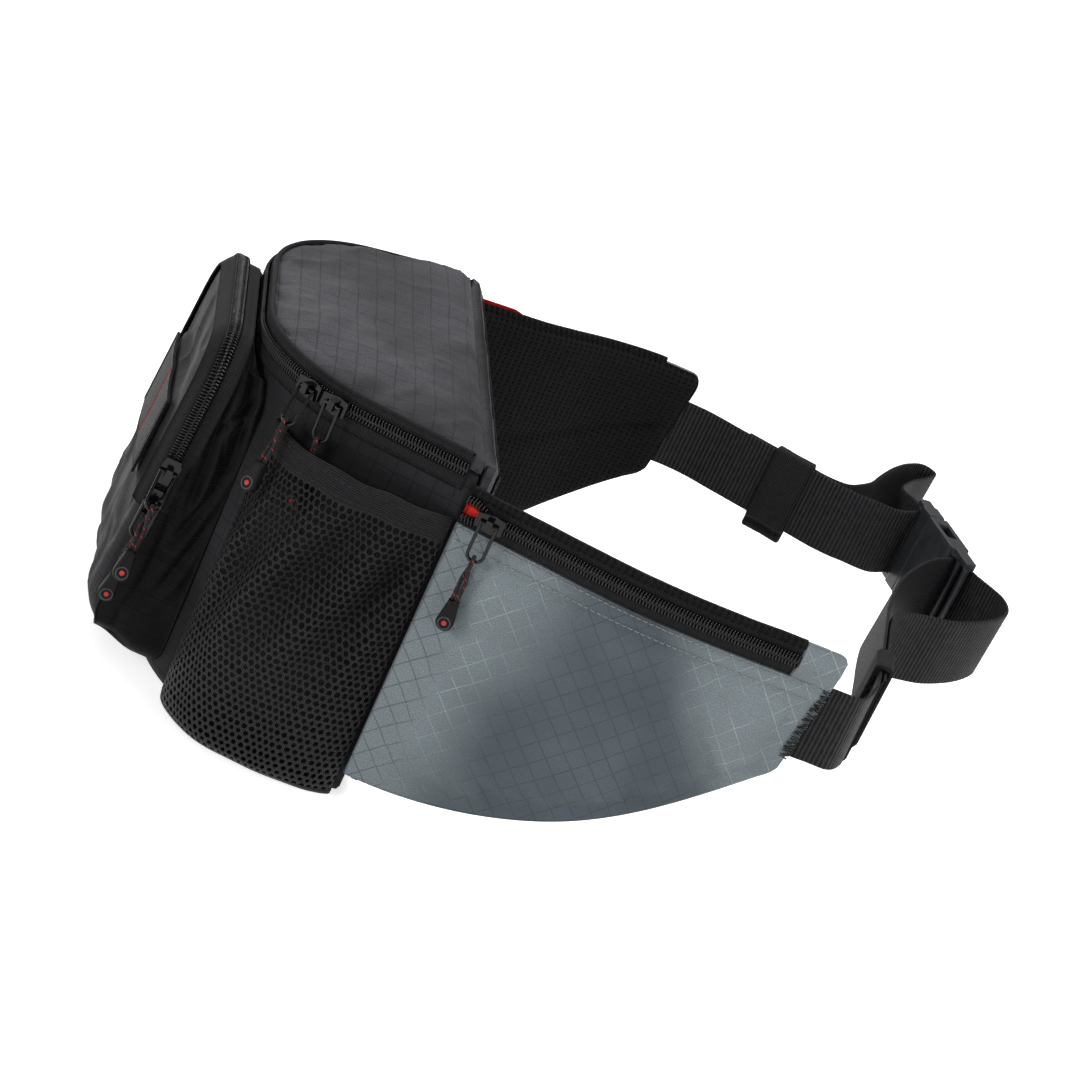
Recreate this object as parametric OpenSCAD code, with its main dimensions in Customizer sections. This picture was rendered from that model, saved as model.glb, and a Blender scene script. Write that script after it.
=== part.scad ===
// Waist pack: a top-opening bag with a zipped front pocket, two mesh side pockets,
// two padded hip wings and a 38 mm webbing belt with a side-release buckle.
// Frame: +Z up, the wearer stands on +Y, the front pocket faces -Y.
// Origin: centre of the bag's width on the plane that its base rests on.

/* [Bag body] */
// Height of the bag's wall up to the lid zip
bag_h = 172; // [150:1:200]
// Y of the flat front of the bag
bag_front_y = -44; // [-60:1:-35]
// Y of the bag's back, where the back panel starts
bag_back_y = 58; // [50:1:75]
// Half width of the flat stretch of the front
bag_flat_half = 29; // [20:1:40]
// Plan radius of the two front corners
bag_corner_r = 74; // [60:1:80]
// Angle that each side flares outward towards the back
bag_flare = 18.4; // [12:0.2:22]
// Thickness of the padded bag wall
bag_wall = 4; // [3:0.5:6]
// Thickness of the padded bag floor
floor_t = 6; // [4:0.5:9]

/* [Lid] */
// Height of the lid's upright rim
lid_rim_h = 6; // [4:0.5:9]
// Rise of the lid's dome above the rim
lid_dome_h = 12; // [8:1:18]
// Thickness of the lid
lid_wall = 3; // [2:0.5:4]

/* [Back panel] */
// Thickness of the padded back panel
back_t = 8; // [6:0.5:12]
// Thickness of the air mesh on the wearer's side
mesh_t = 2.5; // [1.5:0.5:4]
// Height of the back panel's lower edge above the base plane
back_low = 5; // [2:1:15]

/* [Front pocket] */
// Half width of the front pocket
pocket_half = 66; // [56:1:70]
// How far the front pocket's top stays below the top of the bag's wall
pocket_drop = 4; // [2:1:22]
// Height of the front pocket's base above the base plane
pocket_base = 7; // [4:1:15]
// Plan Y of the pocket's zip line at its base
pocket_base_y = -72; // [-80:1:-66]
// Angle that the pocket's face leans back to the bag
pocket_lean = 5; // [2:0.5:6]
// Radius of the pocket's top corners
pocket_corner_r = 26; // [20:1:34]
// Radius of the pocket's bottom corners
pocket_foot_r = 12; // [8:1:20]
// Wall of the pocket
pocket_wall = 2.5; // [2:0.5:3.5]
// How far the flap's face bulges in front of the zip line
flap_bulge = 10; // [7:0.5:14]
// Height at which the pocket's zip ends on both sides
pocket_zip_end = 74; // [60:1:85]

/* [Gear webbing] */
// Width of the webbing across the pocket's face
gear_w = 38; // [25:1:40]
// Height of its lower edge above the pocket's base
gear_low = 78; // [60:1:90]
// Spacing of its bartacks
gear_pitch = 40; // [30:1:48]

/* [Mesh pockets] */
// How far the mesh pocket's rim stays below the top of the bag's wall
mesh_rim_drop = 23; // [17:1:42]
// Height of the elastic binding on the rim
binding_h = 12; // [8:1:16]
// Greatest bulge of the mesh at the bottom
mesh_bulge_low = 24; // [18:1:30]
// Bulge of the mesh at its rim
mesh_bulge_rim = 11; // [10:0.5:14]
// Wall of the mesh
mesh_wall = 2; // [1.5:0.25:3]

/* [Hip wings] */
// Thickness of the wing's padded inner panel
wing_pad_t = 5; // [4:0.5:8]
// Thickness of the wing's outer pocket panel
wing_skin_t = 1.6; // [1.2:0.2:2.4]
// How far the wing's top edge stays below the top of the bag's wall at the bag
wing_drop = 5; // [0:1:17]
// How much lower the wing's top edge is at the belt
wing_fall = 6; // [2:1:12]
// Height of the wing's lower edge at the bag
wing_low = 14; // [8:1:25]
// Height of the wing's end, where it meets the belt
wing_end_h = 60; // [57:1:65]
// Width of the zip opening's tape pair along the wing's top
wing_zip_w = 18; // [16:1:24]
// Length of the fabric patch that covers the zip's end
wing_tab_l = 20; // [14:1:28]

/* [Belt] */
// Width of the webbing
belt_w = 38; // [36:1:40]
// Thickness of the webbing
belt_t = 1.5; // [1:0.1:1.8]
// How far the belt's middle lies below the top of the wing's end
belt_drop = 33; // [31:1:36]
// Width of a keeper along the belt
keeper_w = 22; // [16:1:28]
// Thickness of the keeper's elastic
keeper_t = 1.4; // [1:0.1:2]

/* [Buckle] */
// Distance between the two webbing bars
buckle_l = 56; // [54:1:60]
// Thickness of the buckle
buckle_t = 11; // [9:0.5:13]
// Radius of a webbing bar
bar_r = 2; // [1.5:0.1:2.4]
// Thickness of the buckle's side rails
rail_t = 4; // [3:0.5:5]

/* [Zips] */
// Width of one zip tape
tape_w = 10; // [7:0.5:12]
// Thickness of a zip tape
tape_t = 1; // [0.6:0.1:1.2]
// Width of one half of the coil
coil_w = 3.2; // [2.4:0.1:3.6]
// Height of the coil above the tape
coil_h = 2.6; // [2:0.1:3]
// Length of a slider
slider_l = 13; // [10:0.5:15]
// Width of a slider
slider_w = 9; // [7:0.5:11]
// Length of a pull's wire loop
loop_l = 20; // [15:0.5:24]
// Width of a pull's wire loop
loop_w = 9; // [7:0.5:11]
// Radius of the wire
wire_r = 0.8; // [0.6:0.1:1]
// Radius of the pull cord
cord_r = 0.9; // [0.7:0.1:1.1]
// Length of the cord between the loop and the rubber end
cord_l = 20; // [14:1:24]
// Length of the rubber end
tip_l = 15; // [12:0.5:18]
// Radius of the rubber end's round foot
tip_r = 4.8; // [4:0.2:5.5]
// Thickness of the rubber end
tip_t = 5.2; // [4.6:0.2:6]

/* [Fits] */
// Clearance between pieces that lie on each other
fit = 0.3; // [0.2:0.05:0.4]
// Clearance on each side of the webbing in a bar frame or keeper
slack = 0.8; // [0.4:0.1:1]
// Radial clearance of a pull's wire in the slider's bridge
wire_play = 0.3; // [0.2:0.05:0.4]

/* [Hidden] */
$fn = 32;

// Colours
slate = "#5c6a73";
charcoal = "#3a3b40";
black_cloth = "#1d1d1f";
mesh_black = "#141414";
web_black = "#202020";
gunmetal = "#2a2b2e";
plastic = "#2e3033";
red = "#c8322b";

// ---- Heights that follow the bag's wall ----
pocket_top = bag_h - pocket_drop;
mesh_rim_z = bag_h - mesh_rim_drop;
wing_top_root = bag_h - wing_drop;
wing_top_end = wing_top_root - wing_fall;
wing_low_end = wing_top_end - wing_end_h;
belt_z = wing_top_end - belt_drop;

// ---- Shared geometry ----
eps = 0.01;
side_dir = [sin(bag_flare), cos(bag_flare)];
side_out = [cos(bag_flare), -sin(bag_flare)];
corner_c = [bag_flat_half, bag_front_y + bag_corner_r];

function rev(list) = [for (i = [len(list) - 1 : -1 : 0]) list[i]];
function flip_x(list) = [for (p = list) [-p[0], p[1]]];
function arc(c, r, a0, a1, n) = [for (i = [0 : n]) let (a = a0 + (a1 - a0) * i / n)
    c + r * [cos(a), sin(a)]];
function unit(v) = v / norm(v);

// A smooth curve through hand-set points, with knots spaced by the root of the chord so that it never loops
function knot(a, b) = pow(max(norm(b - a), 0.001), 0.5);
function blend2(a, b, ta, tb, t) = ((tb - t) * a + (t - ta) * b) / (tb - ta);
function span(a, b, c, d, f) = let (t1 = knot(a, b), t2 = t1 + knot(b, c), t3 = t2 + knot(c, d),
        t = t1 + f * (t2 - t1),
        ab = blend2(a, b, 0, t1, t), bc = blend2(b, c, t1, t2, t), cd = blend2(c, d, t2, t3, t))
    blend2(blend2(ab, bc, 0, t2, t), blend2(bc, cd, t1, t3, t), t1, t2, t);
function curve(p, n = 5) = let (m = len(p), q = concat([2 * p[0] - p[1]], p, [2 * p[m - 1] - p[m - 2]]))
    concat([for (i = [0 : m - 2]) for (k = [0 : n - 1])
        span(q[i], q[i + 1], q[i + 2], q[i + 3], k / n)], [p[m - 1]]);

// Normals to the right of a path's direction, and a band between two offsets
function path_out(p, i) = let (d = unit(p[min(i + 1, len(p) - 1)] - p[max(i - 1, 0)])) [d[1], -d[0]];
function shifted(p, s) = [for (i = [0 : len(p) - 1]) p[i] + s * path_out(p, i)];
function band(p, a, b) = concat(shifted(p, b), rev(shifted(p, a)));

// Side of the bag at a height in Y, on the outline moved outward by a
function side_point(y, a) = let (t = corner_c + (bag_corner_r + a) * side_out)
    t + side_dir * ((y - t[1]) / side_dir[1]);

// Half outline of the bag, from the middle of the front to the back corner
function bag_half(a, back) = concat(
    arc(corner_c, bag_corner_r + a, -90, -bag_flare, 8), [side_point(back, a)]);
function bag_plan(a, back) = concat(bag_half(a, back), rev(flip_x(bag_half(a, back))));

// Open path of the lid's zip, from the near back round the front to the far back
lid_zip_back = bag_back_y - 5;
function lid_zip(a) = concat(rev(bag_half(a, lid_zip_back)), flip_x(bag_half(a, lid_zip_back)));
function lid_band(a, b) = concat(lid_zip(b), rev(lid_zip(a)));

// Solid through a list of rings, each a path out and the same number of points back; the two end rings are
// closed by strips across, so rings that go up outside and come down inside make a cup
module loft(rings) {
    n = len(rings[0]);
    m = len(rings);
    top = (m - 1) * n;
    polyhedron(points = [for (r = rings) each r], faces = concat(
        [for (i = [0 : n / 2 - 2]) [i, i + 1, n - 2 - i, n - 1 - i]],
        [for (k = [0 : m - 2]) for (i = [0 : n - 1])
            [k * n + i, (k + 1) * n + i, (k + 1) * n + (i + 1) % n]],
        [for (k = [0 : m - 2]) for (i = [0 : n - 1])
            [k * n + i, (k + 1) * n + (i + 1) % n, k * n + (i + 1) % n]],
        [for (i = [0 : n / 2 - 2]) [top + n - 1 - i, top + n - 2 - i, top + i + 1, top + i]]));
}

function at_z(points, z) = [for (p = points) [p[0], p[1], z]];

module block_z(points, z0, z1) {
    translate([0, 0, z0]) linear_extrude(z1 - z0) polygon(points);
}

// ---- Back panel ----
back_half = side_point(bag_back_y, 0)[0];
hinge_z = bag_h + lid_rim_h;
back_face = bag_back_y + fit + back_t;

module back_panel() {
    color(charcoal) block_z([[-back_half, bag_back_y + fit], [back_half, bag_back_y + fit],
        [back_half, back_face], [-back_half, back_face]], back_low, hinge_z - 1);
}

module back_mesh() {
    inset = 4;
    color(mesh_black) block_z([[inset - back_half, back_face], [back_half - inset, back_face],
        [back_half - inset, back_face + mesh_t], [inset - back_half, back_face + mesh_t]],
        back_low + inset, hinge_z - 1 - inset);
}

// ---- Bag ----
module main_shell() {
    color(black_cloth) difference() {
        block_z(bag_plan(0, bag_back_y), 0, bag_h - fit);
        block_z(bag_plan(-bag_wall, bag_back_y - bag_wall), floor_t, bag_h + 1);
    }
}

// Rings of the lid's dome: height and inset as parts of the dome's rise
function lid_ring(f, g, t) = at_z(bag_plan(-g - t, bag_back_y - g / 2 - t),
    hinge_z + f * lid_dome_h - t);
module lid_dome(t, low) {
    loft([at_z(bag_plan(-t, bag_back_y - t), low), lid_ring(0, 0, t), lid_ring(0.4, 4, t),
        lid_ring(0.7, 12, t), lid_ring(0.9, 26, t), lid_ring(1, 44, t)]);
}

module lid_panel() {
    color(charcoal) difference() {
        lid_dome(0, bag_h + fit);
        lid_dome(lid_wall, bag_h - 1);
    }
}

module lid_zip_tape_upper() {
    color(web_black) block_z(lid_band(fit, fit + tape_t), bag_h + fit, bag_h + fit + lid_rim_h);
}

module lid_zip_coil_upper() {
    color(gunmetal) block_z(lid_band(fit + tape_t, fit + tape_t + coil_h),
        bag_h + fit, bag_h + fit + coil_w);
}

module lid_zip_tape_lower() {
    color(web_black) block_z(lid_band(fit, fit + tape_t), bag_h - fit - tape_w, bag_h - fit);
}

module lid_zip_coil_lower() {
    color(gunmetal) block_z(lid_band(fit + tape_t, fit + tape_t + coil_h),
        bag_h - fit - coil_w, bag_h - fit);
}

// ---- Front pocket, drawn in a frame that leans back about its base ----
pocket_h = (pocket_top - pocket_base) / cos(pocket_lean);
groove = fit + tape_t + coil_h + 1.5;
groove_z = bag_h - tape_w - 3;

module leaned() {
    translate([0, pocket_base_y, pocket_base]) rotate([-pocket_lean, 0, 0]) children();
}

// Outline of the pocket's face, and the open arch that its zip follows; far inside, its corners keep
// a small radius
least_r = 1;
function face_corner(z, up, a, r, a0, a1, n) = let (q = max(r + a, least_r))
    arc([pocket_half + a - q, z + up * (a - q)], q, a0, a1, n);
function face_half(a) = concat(face_corner(0, -1, a, pocket_foot_r, -90, 0, 4),
    face_corner(pocket_h, 1, a, pocket_corner_r, 0, 90, 6));
function face_plan(a) = concat(face_half(a), rev(flip_x(face_half(a))));
function arch_half(a) = concat([[pocket_half + a, pocket_zip_end]],
    arc([pocket_half - pocket_corner_r, pocket_h - pocket_corner_r], pocket_corner_r + a, 0, 90, 6));
function arch(a) = concat(arch_half(a), rev(flip_x(arch_half(a))));
function arch_band(a, b) = concat(arch(b), rev(arch(a)));

// Extrudes a face outline from y0 to y1 in the leaned frame
module block_y(points, y0, y1) {
    translate([0, y1, 0]) rotate([90, 0, 0]) linear_extrude(y1 - y0) polygon(points);
}

module front_pocket_shell() {
    reach = 60;
    color(black_cloth) difference() {
        leaned() block_y(face_plan(0), fit / 2, reach);
        leaned() block_y(face_plan(-pocket_wall), -1, reach + 1);
        block_z(bag_plan(fit, bag_back_y), -1, groove_z);
        block_z(bag_plan(groove, bag_back_y), groove_z - eps, bag_h + 20);
    }
}

function flap_ring(g, y) = [for (p = face_plan(-g)) [p[0], y, p[1]]];
module flap_form(t) {
    loft([flap_ring(t, t > 0 ? 1 : -fit / 2), flap_ring(t, -0.3 * flap_bulge + t),
        flap_ring(5 + t, -0.65 * flap_bulge + t), flap_ring(14 + t, -0.9 * flap_bulge + t),
        flap_ring(28 + t, -flap_bulge + t)]);
}

module front_pocket_flap() {
    color(charcoal) leaned() difference() {
        flap_form(0);
        flap_form(pocket_wall);
    }
}

module front_zip_tape_flap() {
    color(web_black) leaned() block_y(arch_band(fit, fit + tape_t), -0.3 * flap_bulge - 1.5, -fit / 2);
}

module front_zip_coil_flap() {
    color(gunmetal) leaned() block_y(arch_band(fit + tape_t, fit + tape_t + coil_h),
        -fit / 2 - coil_w, -fit / 2);
}

module front_zip_tape_shell() {
    color(web_black) leaned() block_y(arch_band(fit, fit + tape_t), fit / 2, tape_w - 2);
}

module front_zip_coil_shell() {
    color(gunmetal) leaned() block_y(arch_band(fit + tape_t, fit + tape_t + coil_h),
        fit / 2, fit / 2 + coil_w);
}

gear_half = gear_pitch + 4;
module gear_webbing() {
    color(web_black) leaned() translate([-gear_half, -flap_bulge - fit - belt_t, gear_low])
        cube([2 * gear_half, belt_t, gear_w]);
}

// ---- Mesh pockets: cups that bulge from the bag's side ----
mesh_a0 = -50;
mesh_back_y = bag_back_y - 8;
mesh_steps = 7;
mesh_back_t = 0.4;
mesh_mid_z = 80;
mesh_top = mesh_rim_z - binding_h;

// Point along the pocket's base, round the corner for the first mesh_steps and then along the side,
// moved outward by a
function mesh_point(t, a) = let (f = t / mesh_steps, at_corner = mesh_a0 - (bag_flare + mesh_a0) * min(f, 1),
        q = corner_c + (bag_corner_r + a) * [cos(at_corner), sin(at_corner)])
    q + (side_point(mesh_back_y, a) - q) * max(f - 1, 0);
function mesh_bow(t, b) = b * pow(max(sin(90 * t / mesh_steps), 0), 0.7);

// Ring of the pocket: bulge b and wall w outside, gap g to the bag inside, and trim left out at each end
function mesh_ring(b, w, g, trim) = let (n = 2 * mesh_steps,
        path = [for (i = [0 : n]) trim + i * (n - 2 * trim) / n])
    concat([for (t = path) mesh_point(t, fit + w + mesh_bow(t, b))], [for (t = rev(path)) mesh_point(t, g)]);

function mesh_rings(b, r, w, g, trim, low) = [
    at_z(mesh_ring(b * 0.62, w, g, trim), low), at_z(mesh_ring(b * 0.9, w, g, trim), low + 6),
    at_z(mesh_ring(b, w, g, trim), low + 22), at_z(mesh_ring(b * 0.85, w, g, trim), mesh_mid_z),
    at_z(mesh_ring(r, w, g, trim), mesh_top)];

module mesh_pocket_near() {
    color(mesh_black) loft(concat(mesh_rings(mesh_bulge_low, mesh_bulge_rim, mesh_wall, fit, 0, 0),
        rev(mesh_rings(mesh_bulge_low, mesh_bulge_rim, 0, fit + mesh_back_t, 1, mesh_wall))));
}

module mesh_pocket_far() {
    mirror([1, 0, 0]) mesh_pocket_near();
}

module mesh_bindings() {
    for (m = [0, 1]) mirror([m, 0, 0]) color(web_black) difference() {
        block_z(mesh_ring(mesh_bulge_rim, mesh_wall, fit, 0), mesh_top, mesh_rim_z);
        block_z(mesh_ring(mesh_bulge_rim, 0, fit / 2, 1), mesh_top - 1, mesh_rim_z + 1);
    }
}

// ---- Hip wings: ribbons of pad, lining and skin along a path in plan ----
// The far wing is drawn mirrored; it curls more than the near one
wing_start = [[118, 56], [119.5, 62], [124.6, 82], [129.7, 102]];
wing_near_path = concat(wing_start, [[133, 115], [140, 146], [145, 180], [148, 236]]);
wing_far_path = concat(wing_start, [[137, 122], [145, 145], [149, 170], [147.5, 197]]);
wing_path = [curve(wing_near_path), curve(wing_far_path)];
wing_sweep = [2, 1.3];
wing_pad_y = back_face + fit;
wing_skin_y = 57;
pad_drop = 2;
lining_t = 0.6;
lining_rise = 8;
layer_gap = 0.1;
skin_in = layer_gap * 2 + lining_t;
function last(list) = list[len(list) - 1];
function wing_end_y(k) = last(wing_path[k])[1] - eps;
function wing_top(k, y) = wing_top_root
    + (wing_top_end - wing_top_root) * (y - wing_skin_y) / (wing_end_y(k) - wing_skin_y);
function wing_bottom(k, y) = wing_low + (wing_low_end - wing_low)
    * pow(max(y - wing_skin_y, 0) / (wing_end_y(k) - wing_skin_y), wing_sweep[k]);

// Side profile from y0 to the wing's end: drop is the cut below the top edge, rise the cut above the
// lower edge
function wing_side(k, y0, y1, drop, rise) = concat(
    [for (i = [0 : 10]) let (y = y0 + (y1 - y0) * i / 10) [y, wing_bottom(k, y) + rise]],
    [[y1, wing_top(k, y1) - drop], [y0, wing_top(k, y0) - drop]]);

// Strip between two distances below the top edge
function wing_strip(k, y0, y1, d0, d1) = [[y0, wing_top(k, y0) - d1], [y1, wing_top(k, y1) - d1],
    [y1, wing_top(k, y1) - d0], [y0, wing_top(k, y0) - d0]];

module wing_piece(k, side, a, b) {
    mirror([k, 0, 0]) intersection() {
        block_z(band(wing_path[k], a, b), 0, bag_h + 20);
        translate([back_half - 30, 0, 0]) rotate([90, 0, 90]) linear_extrude(90) polygon(side);
    }
}

belt_lap = 18;
module wing_pad(k) {
    y1 = wing_end_y(k);
    half = belt_w / 2 + fit;
    color(mesh_black) difference() {
        wing_piece(k, wing_side(k, wing_pad_y, y1, pad_drop, 0), -wing_pad_t, 0);
        wing_piece(k, [[y1 - belt_lap - 1, belt_z - half], [y1 + 1, belt_z - half],
            [y1 + 1, belt_z + half], [y1 - belt_lap - 1, belt_z + half]], -belt_t - 2 * fit, 1);
    }
}
module wing_pad_near() { wing_pad(0); }
module wing_pad_far() { wing_pad(1); }

module wing_panel(k) {
    color(slate) wing_piece(k, wing_side(k, wing_skin_y, wing_end_y(k), wing_zip_w, 0),
        skin_in, skin_in + wing_skin_t);
}
module wing_panel_near() { wing_panel(0); }
module wing_panel_far() { wing_panel(1); }

module wing_linings() {
    for (k = [0, 1]) color(red)
        wing_piece(k, wing_side(k, wing_pad_y, wing_end_y(k) - wing_tab_l, fit, lining_rise),
            layer_gap, layer_gap + lining_t);
}

coil_drop = 10;
function wing_zip_y1(k) = wing_end_y(k) - wing_tab_l - fit;
module wing_zip_tapes() {
    for (k = [0, 1]) color(web_black) {
        wing_piece(k, wing_strip(k, wing_skin_y, wing_zip_y1(k), 0, coil_drop - fit / 2),
            skin_in, skin_in + tape_t);
        wing_piece(k, wing_strip(k, wing_skin_y, wing_zip_y1(k), coil_drop + fit / 2, wing_zip_w - fit),
            skin_in, skin_in + tape_t);
    }
}

module wing_zip_coils() {
    for (k = [0, 1]) color(gunmetal) wing_piece(k, wing_strip(k, wing_skin_y, wing_zip_y1(k),
        coil_drop - coil_w, coil_drop + coil_w), skin_in + tape_t, skin_in + tape_t + coil_h);
}

module wing_end_tabs() {
    for (k = [0, 1]) color(slate) wing_piece(k, wing_strip(k, wing_end_y(k) - wing_tab_l, wing_end_y(k),
        0, wing_zip_w - fit), skin_in, skin_in + wing_skin_t);
}

// ---- Belt: ribbons of webbing; each is sewn into its wing, goes round its bar and back to a keeper ----
buckle_turn = 11.4;
buckle_at = [-118.5, 329.8];
buckle_dir = [cos(buckle_turn), sin(buckle_turn)];
near_bar = buckle_at + buckle_l * buckle_dir;
wrap_r = bar_r + fit + belt_t / 2;
sewn_in = -belt_t / 2 - fit;

// First points of a belt, inside the wing's end
function belt_root(k) = let (p = shifted(wing_path[k], sewn_in), e = last(p), d = unit(e - p[len(p) - 2]))
    [e - belt_lap * d, e - belt_lap / 2 * d, e + 2 * d];

// Straight stretches that carry the keepers: origin, direction, and the tail's distance from the belt
tail_gap = belt_t + 0.9;
near_run_at = [113.5, 265.4];
near_run_dir = [-cos(12.9), sin(12.9)];
near_run_side = [near_run_dir[1], -near_run_dir[0]];
far_run_at = [-137, 223];
far_run_dir = [cos(63.5), sin(63.5)];
far_run_side = [-far_run_dir[1], far_run_dir[0]];
function near_run(s, off) = near_run_at + s * near_run_dir + off * near_run_side;
function far_run(s, off) = far_run_at + s * far_run_dir + off * far_run_side;

near_points = concat(belt_root(0), [[146, 250], [134, 259]],
    [for (s = [0, 24, 48, 72]) near_run(s, 0)],
    [[16, 288.5], [-11.5, 297.5], [-39, 313], near_bar + [6.6, -13.9]],
    arc(near_bar, wrap_r, 205, 75, 5),
    [near_bar + [9.6, 6.6], [-45, 352], [-33, 359], [-18, 357.5], [-3, 346], [11, 325], [17, 305],
        [27, 291]],
    [for (s = [66, 44, 22, 0, -4]) near_run(s, tail_gap)]);
far_points = concat([for (p = belt_root(1)) [-p[0], p[1]]], [[-143.4, 210]],
    [for (s = [0, 24, 46, 66]) far_run(s, 0)],
    [[-104.3, 299], [-106, 313], [-111, 323]],
    arc(buckle_at, wrap_r, -25, 105, 5),
    [buckle_at - [8.5, 1.8], [-146, 325], [-164, 333], [-179, 345], [-187, 350], [-191, 345],
        [-182, 334], [-165, 322], [-145, 310], [-125, 298.5], [-114.2, 286]],
    [for (s = [56, 40, 24, 8]) far_run(s, tail_gap)]);

module belt(points) {
    color(web_black) block_z(band(curve(points, 4), -belt_t / 2, belt_t / 2),
        belt_z - belt_w / 2, belt_z + belt_w / 2);
}
module belt_near() { belt(near_points); }
module belt_far() { belt(far_points); }

module keeper(at, dir) {
    inner = tail_gap + belt_t + 2 * slack;
    high = belt_w + 2 * slack;
    color(web_black) translate([at[0], at[1], belt_z]) rotate([0, 0, atan2(dir[1], dir[0])]) difference() {
        cube([keeper_w, inner + 2 * keeper_t, high + 2 * keeper_t], center = true);
        cube([keeper_w + 1, inner, high], center = true);
    }
}
near_keeper_s = 15;
far_keeper_s = 36;
module keeper_near() { keeper(near_run(near_keeper_s, tail_gap / 2), near_run_dir); }
module keeper_far() { keeper(far_run(far_keeper_s, tail_gap / 2), far_run_dir); }

// ---- Buckle, drawn along local X from the far bar ----
window_half = belt_w / 2 + slack;
frame_half = window_half + rail_t;
slot = bar_r + belt_t + 2 * slack;
male_l = 17;
mouth = male_l + 1;
cavity_half = frame_half - 3.6;
cavity_t = 6;
female_end = buckle_l - slot;
window_x = [24, 39.5];
lip = 9;

module at_buckle() {
    translate([buckle_at[0], buckle_at[1], belt_z]) rotate([0, 0, buckle_turn]) children();
}

module rails(x0, x1) {
    for (s = [-1, 1]) translate([x0, -buckle_t * 0.3, s > 0 ? window_half : -frame_half])
        cube([x1 - x0, buckle_t * 0.6, rail_t]);
}

module bar(x, r) {
    translate([x, 0, -window_half - 1]) cylinder(r = r, h = 2 * window_half + 2);
}

module buckle_male() {
    guide_l = 22;
    guide_half = 4;
    color(plastic) at_buckle() union() {
        rails(-bar_r - 1, slot + 1);
        bar(0, bar_r);
        translate([slot, -buckle_t * 0.42, -frame_half])
            cube([male_l - slot, buckle_t * 0.84, 2 * frame_half]);
        translate([male_l - 1, -cavity_t / 2 + fit, -guide_half])
            cube([guide_l, cavity_t - 2 * fit, 2 * guide_half]);
    }
}

// One latch arm in the plane of the buckle; its shoulder rises gently so that it slips out as it flexes
arm_root = cavity_half - 3.5;
module latch_arm() {
    z = cavity_half - fit;
    color(plastic) at_buckle() translate([0, cavity_t / 2 - fit, 0]) rotate([90, 0, 0])
        linear_extrude(cavity_t - 2 * fit) polygon([[mouth - 0.7, arm_root], [mouth - 0.7, z], [26, z],
            [36, z + 1.4], [38, z + 0.8], [41, z - 1.6], [41, arm_root + 1], [38, arm_root]]);
}
module latch_arm_upper() { latch_arm(); }
module latch_arm_lower() {
    translate([0, 0, 2 * belt_z]) mirror([0, 0, 1]) latch_arm();
}

module buckle_female() {
    color(plastic) at_buckle() difference() {
        union() {
            translate([mouth, -buckle_t / 2, -frame_half])
                cube([female_end - mouth, buckle_t, 2 * frame_half]);
            rails(female_end - 1, buckle_l + lip + 2);
            bar(buckle_l, bar_r);
            bar(buckle_l + lip, bar_r);
        }
        translate([mouth - 1, -cavity_t / 2, -cavity_half]) cube([26, cavity_t, 2 * cavity_half]);
        translate([window_x[0], -cavity_t / 2, -frame_half - 1])
            cube([window_x[1] - window_x[0], cavity_t, 2 * frame_half + 2]);
    }
}

// ---- Sliders and pulls ----
// Zips in order: lid front, lid rear, pocket upper, pocket lower, wing near, wing far
lid_slider_angle = [-41, -30.5];
pocket_slider_z = [97, 80.5];
wing_slider_y = 70;
pull_tilt = [14, -3, 16, 0, 2, 2];
coil_top = fit + tape_t + coil_h;
ride = coil_top + 2 * fit;
plate_t = 1.8;
bridge_r = wire_r + wire_play;
hinge_n = ride + plate_t + bridge_r + 0.2;

// Frame at a slider: X along the zip, Z out of the tape
module zip_frame(k) {
    if (k < 2) {
        a = lid_slider_angle[k];
        translate([corner_c[0] + bag_corner_r * cos(a), corner_c[1] + bag_corner_r * sin(a), bag_h])
            rotate([90, 0, a + 90]) children();
    } else if (k < 4) {
        leaned() translate([pocket_half, 0, pocket_slider_z[k - 2]])
            rotate([0, -90, 0]) rotate([180, 0, 0]) children();
    } else {
        s = wing_start;
        d = unit(s[3] - s[1]);
        p = s[1] + d * ((wing_slider_y - s[1][1]) / d[1]) + (skin_in - fit) * [d[1], -d[0]];
        mirror([k - 4, 0, 0]) translate([p[0], p[1], wing_top(k - 4, wing_slider_y) - coil_drop])
            rotate([90, 0, atan2(d[1], d[0])]) children();
    }
}

// Frame at a pull's hinge: X along the wire's bar, -Y the way the pull hangs
module pull_frame(k) {
    zip_frame(k) rotate([0, 0, k == 2 || k == 3 ? -90 : 0]) translate([0, 0, hinge_n])
        rotate([-pull_tilt[k], 0, 0]) children();
}

module slider(k) {
    flange_y = coil_w + fit + 0.4;
    bridge_l = 3;
    color(gunmetal) difference() {
        union() {
            zip_frame(k) translate([0, 0, ride]) linear_extrude(plate_t) polygon([
                [-slider_l / 2, -slider_w * 0.35], [slider_l * 0.1, -slider_w / 2],
                [slider_l / 2, -slider_w * 0.4], [slider_l / 2, slider_w * 0.4],
                [slider_l * 0.1, slider_w / 2], [-slider_l / 2, slider_w * 0.35]]);
            zip_frame(k) translate([-slider_l * 0.3, -flange_y - 0.8, fit + tape_t + fit])
                cube([slider_l * 0.6, 0.8, ride - tape_t - 2 * fit + 0.5]);
            zip_frame(k) rotate([0, 0, k == 2 || k == 3 ? -90 : 0])
                translate([-bridge_l / 2, -2.4, ride + plate_t - 0.5])
                cube([bridge_l, 4.8, 2 * bridge_r + 1.6]);
        }
        pull_frame(k) rotate([0, 90, 0]) cylinder(r = bridge_r, h = bridge_l + 2, center = true);
    }
}

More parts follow.
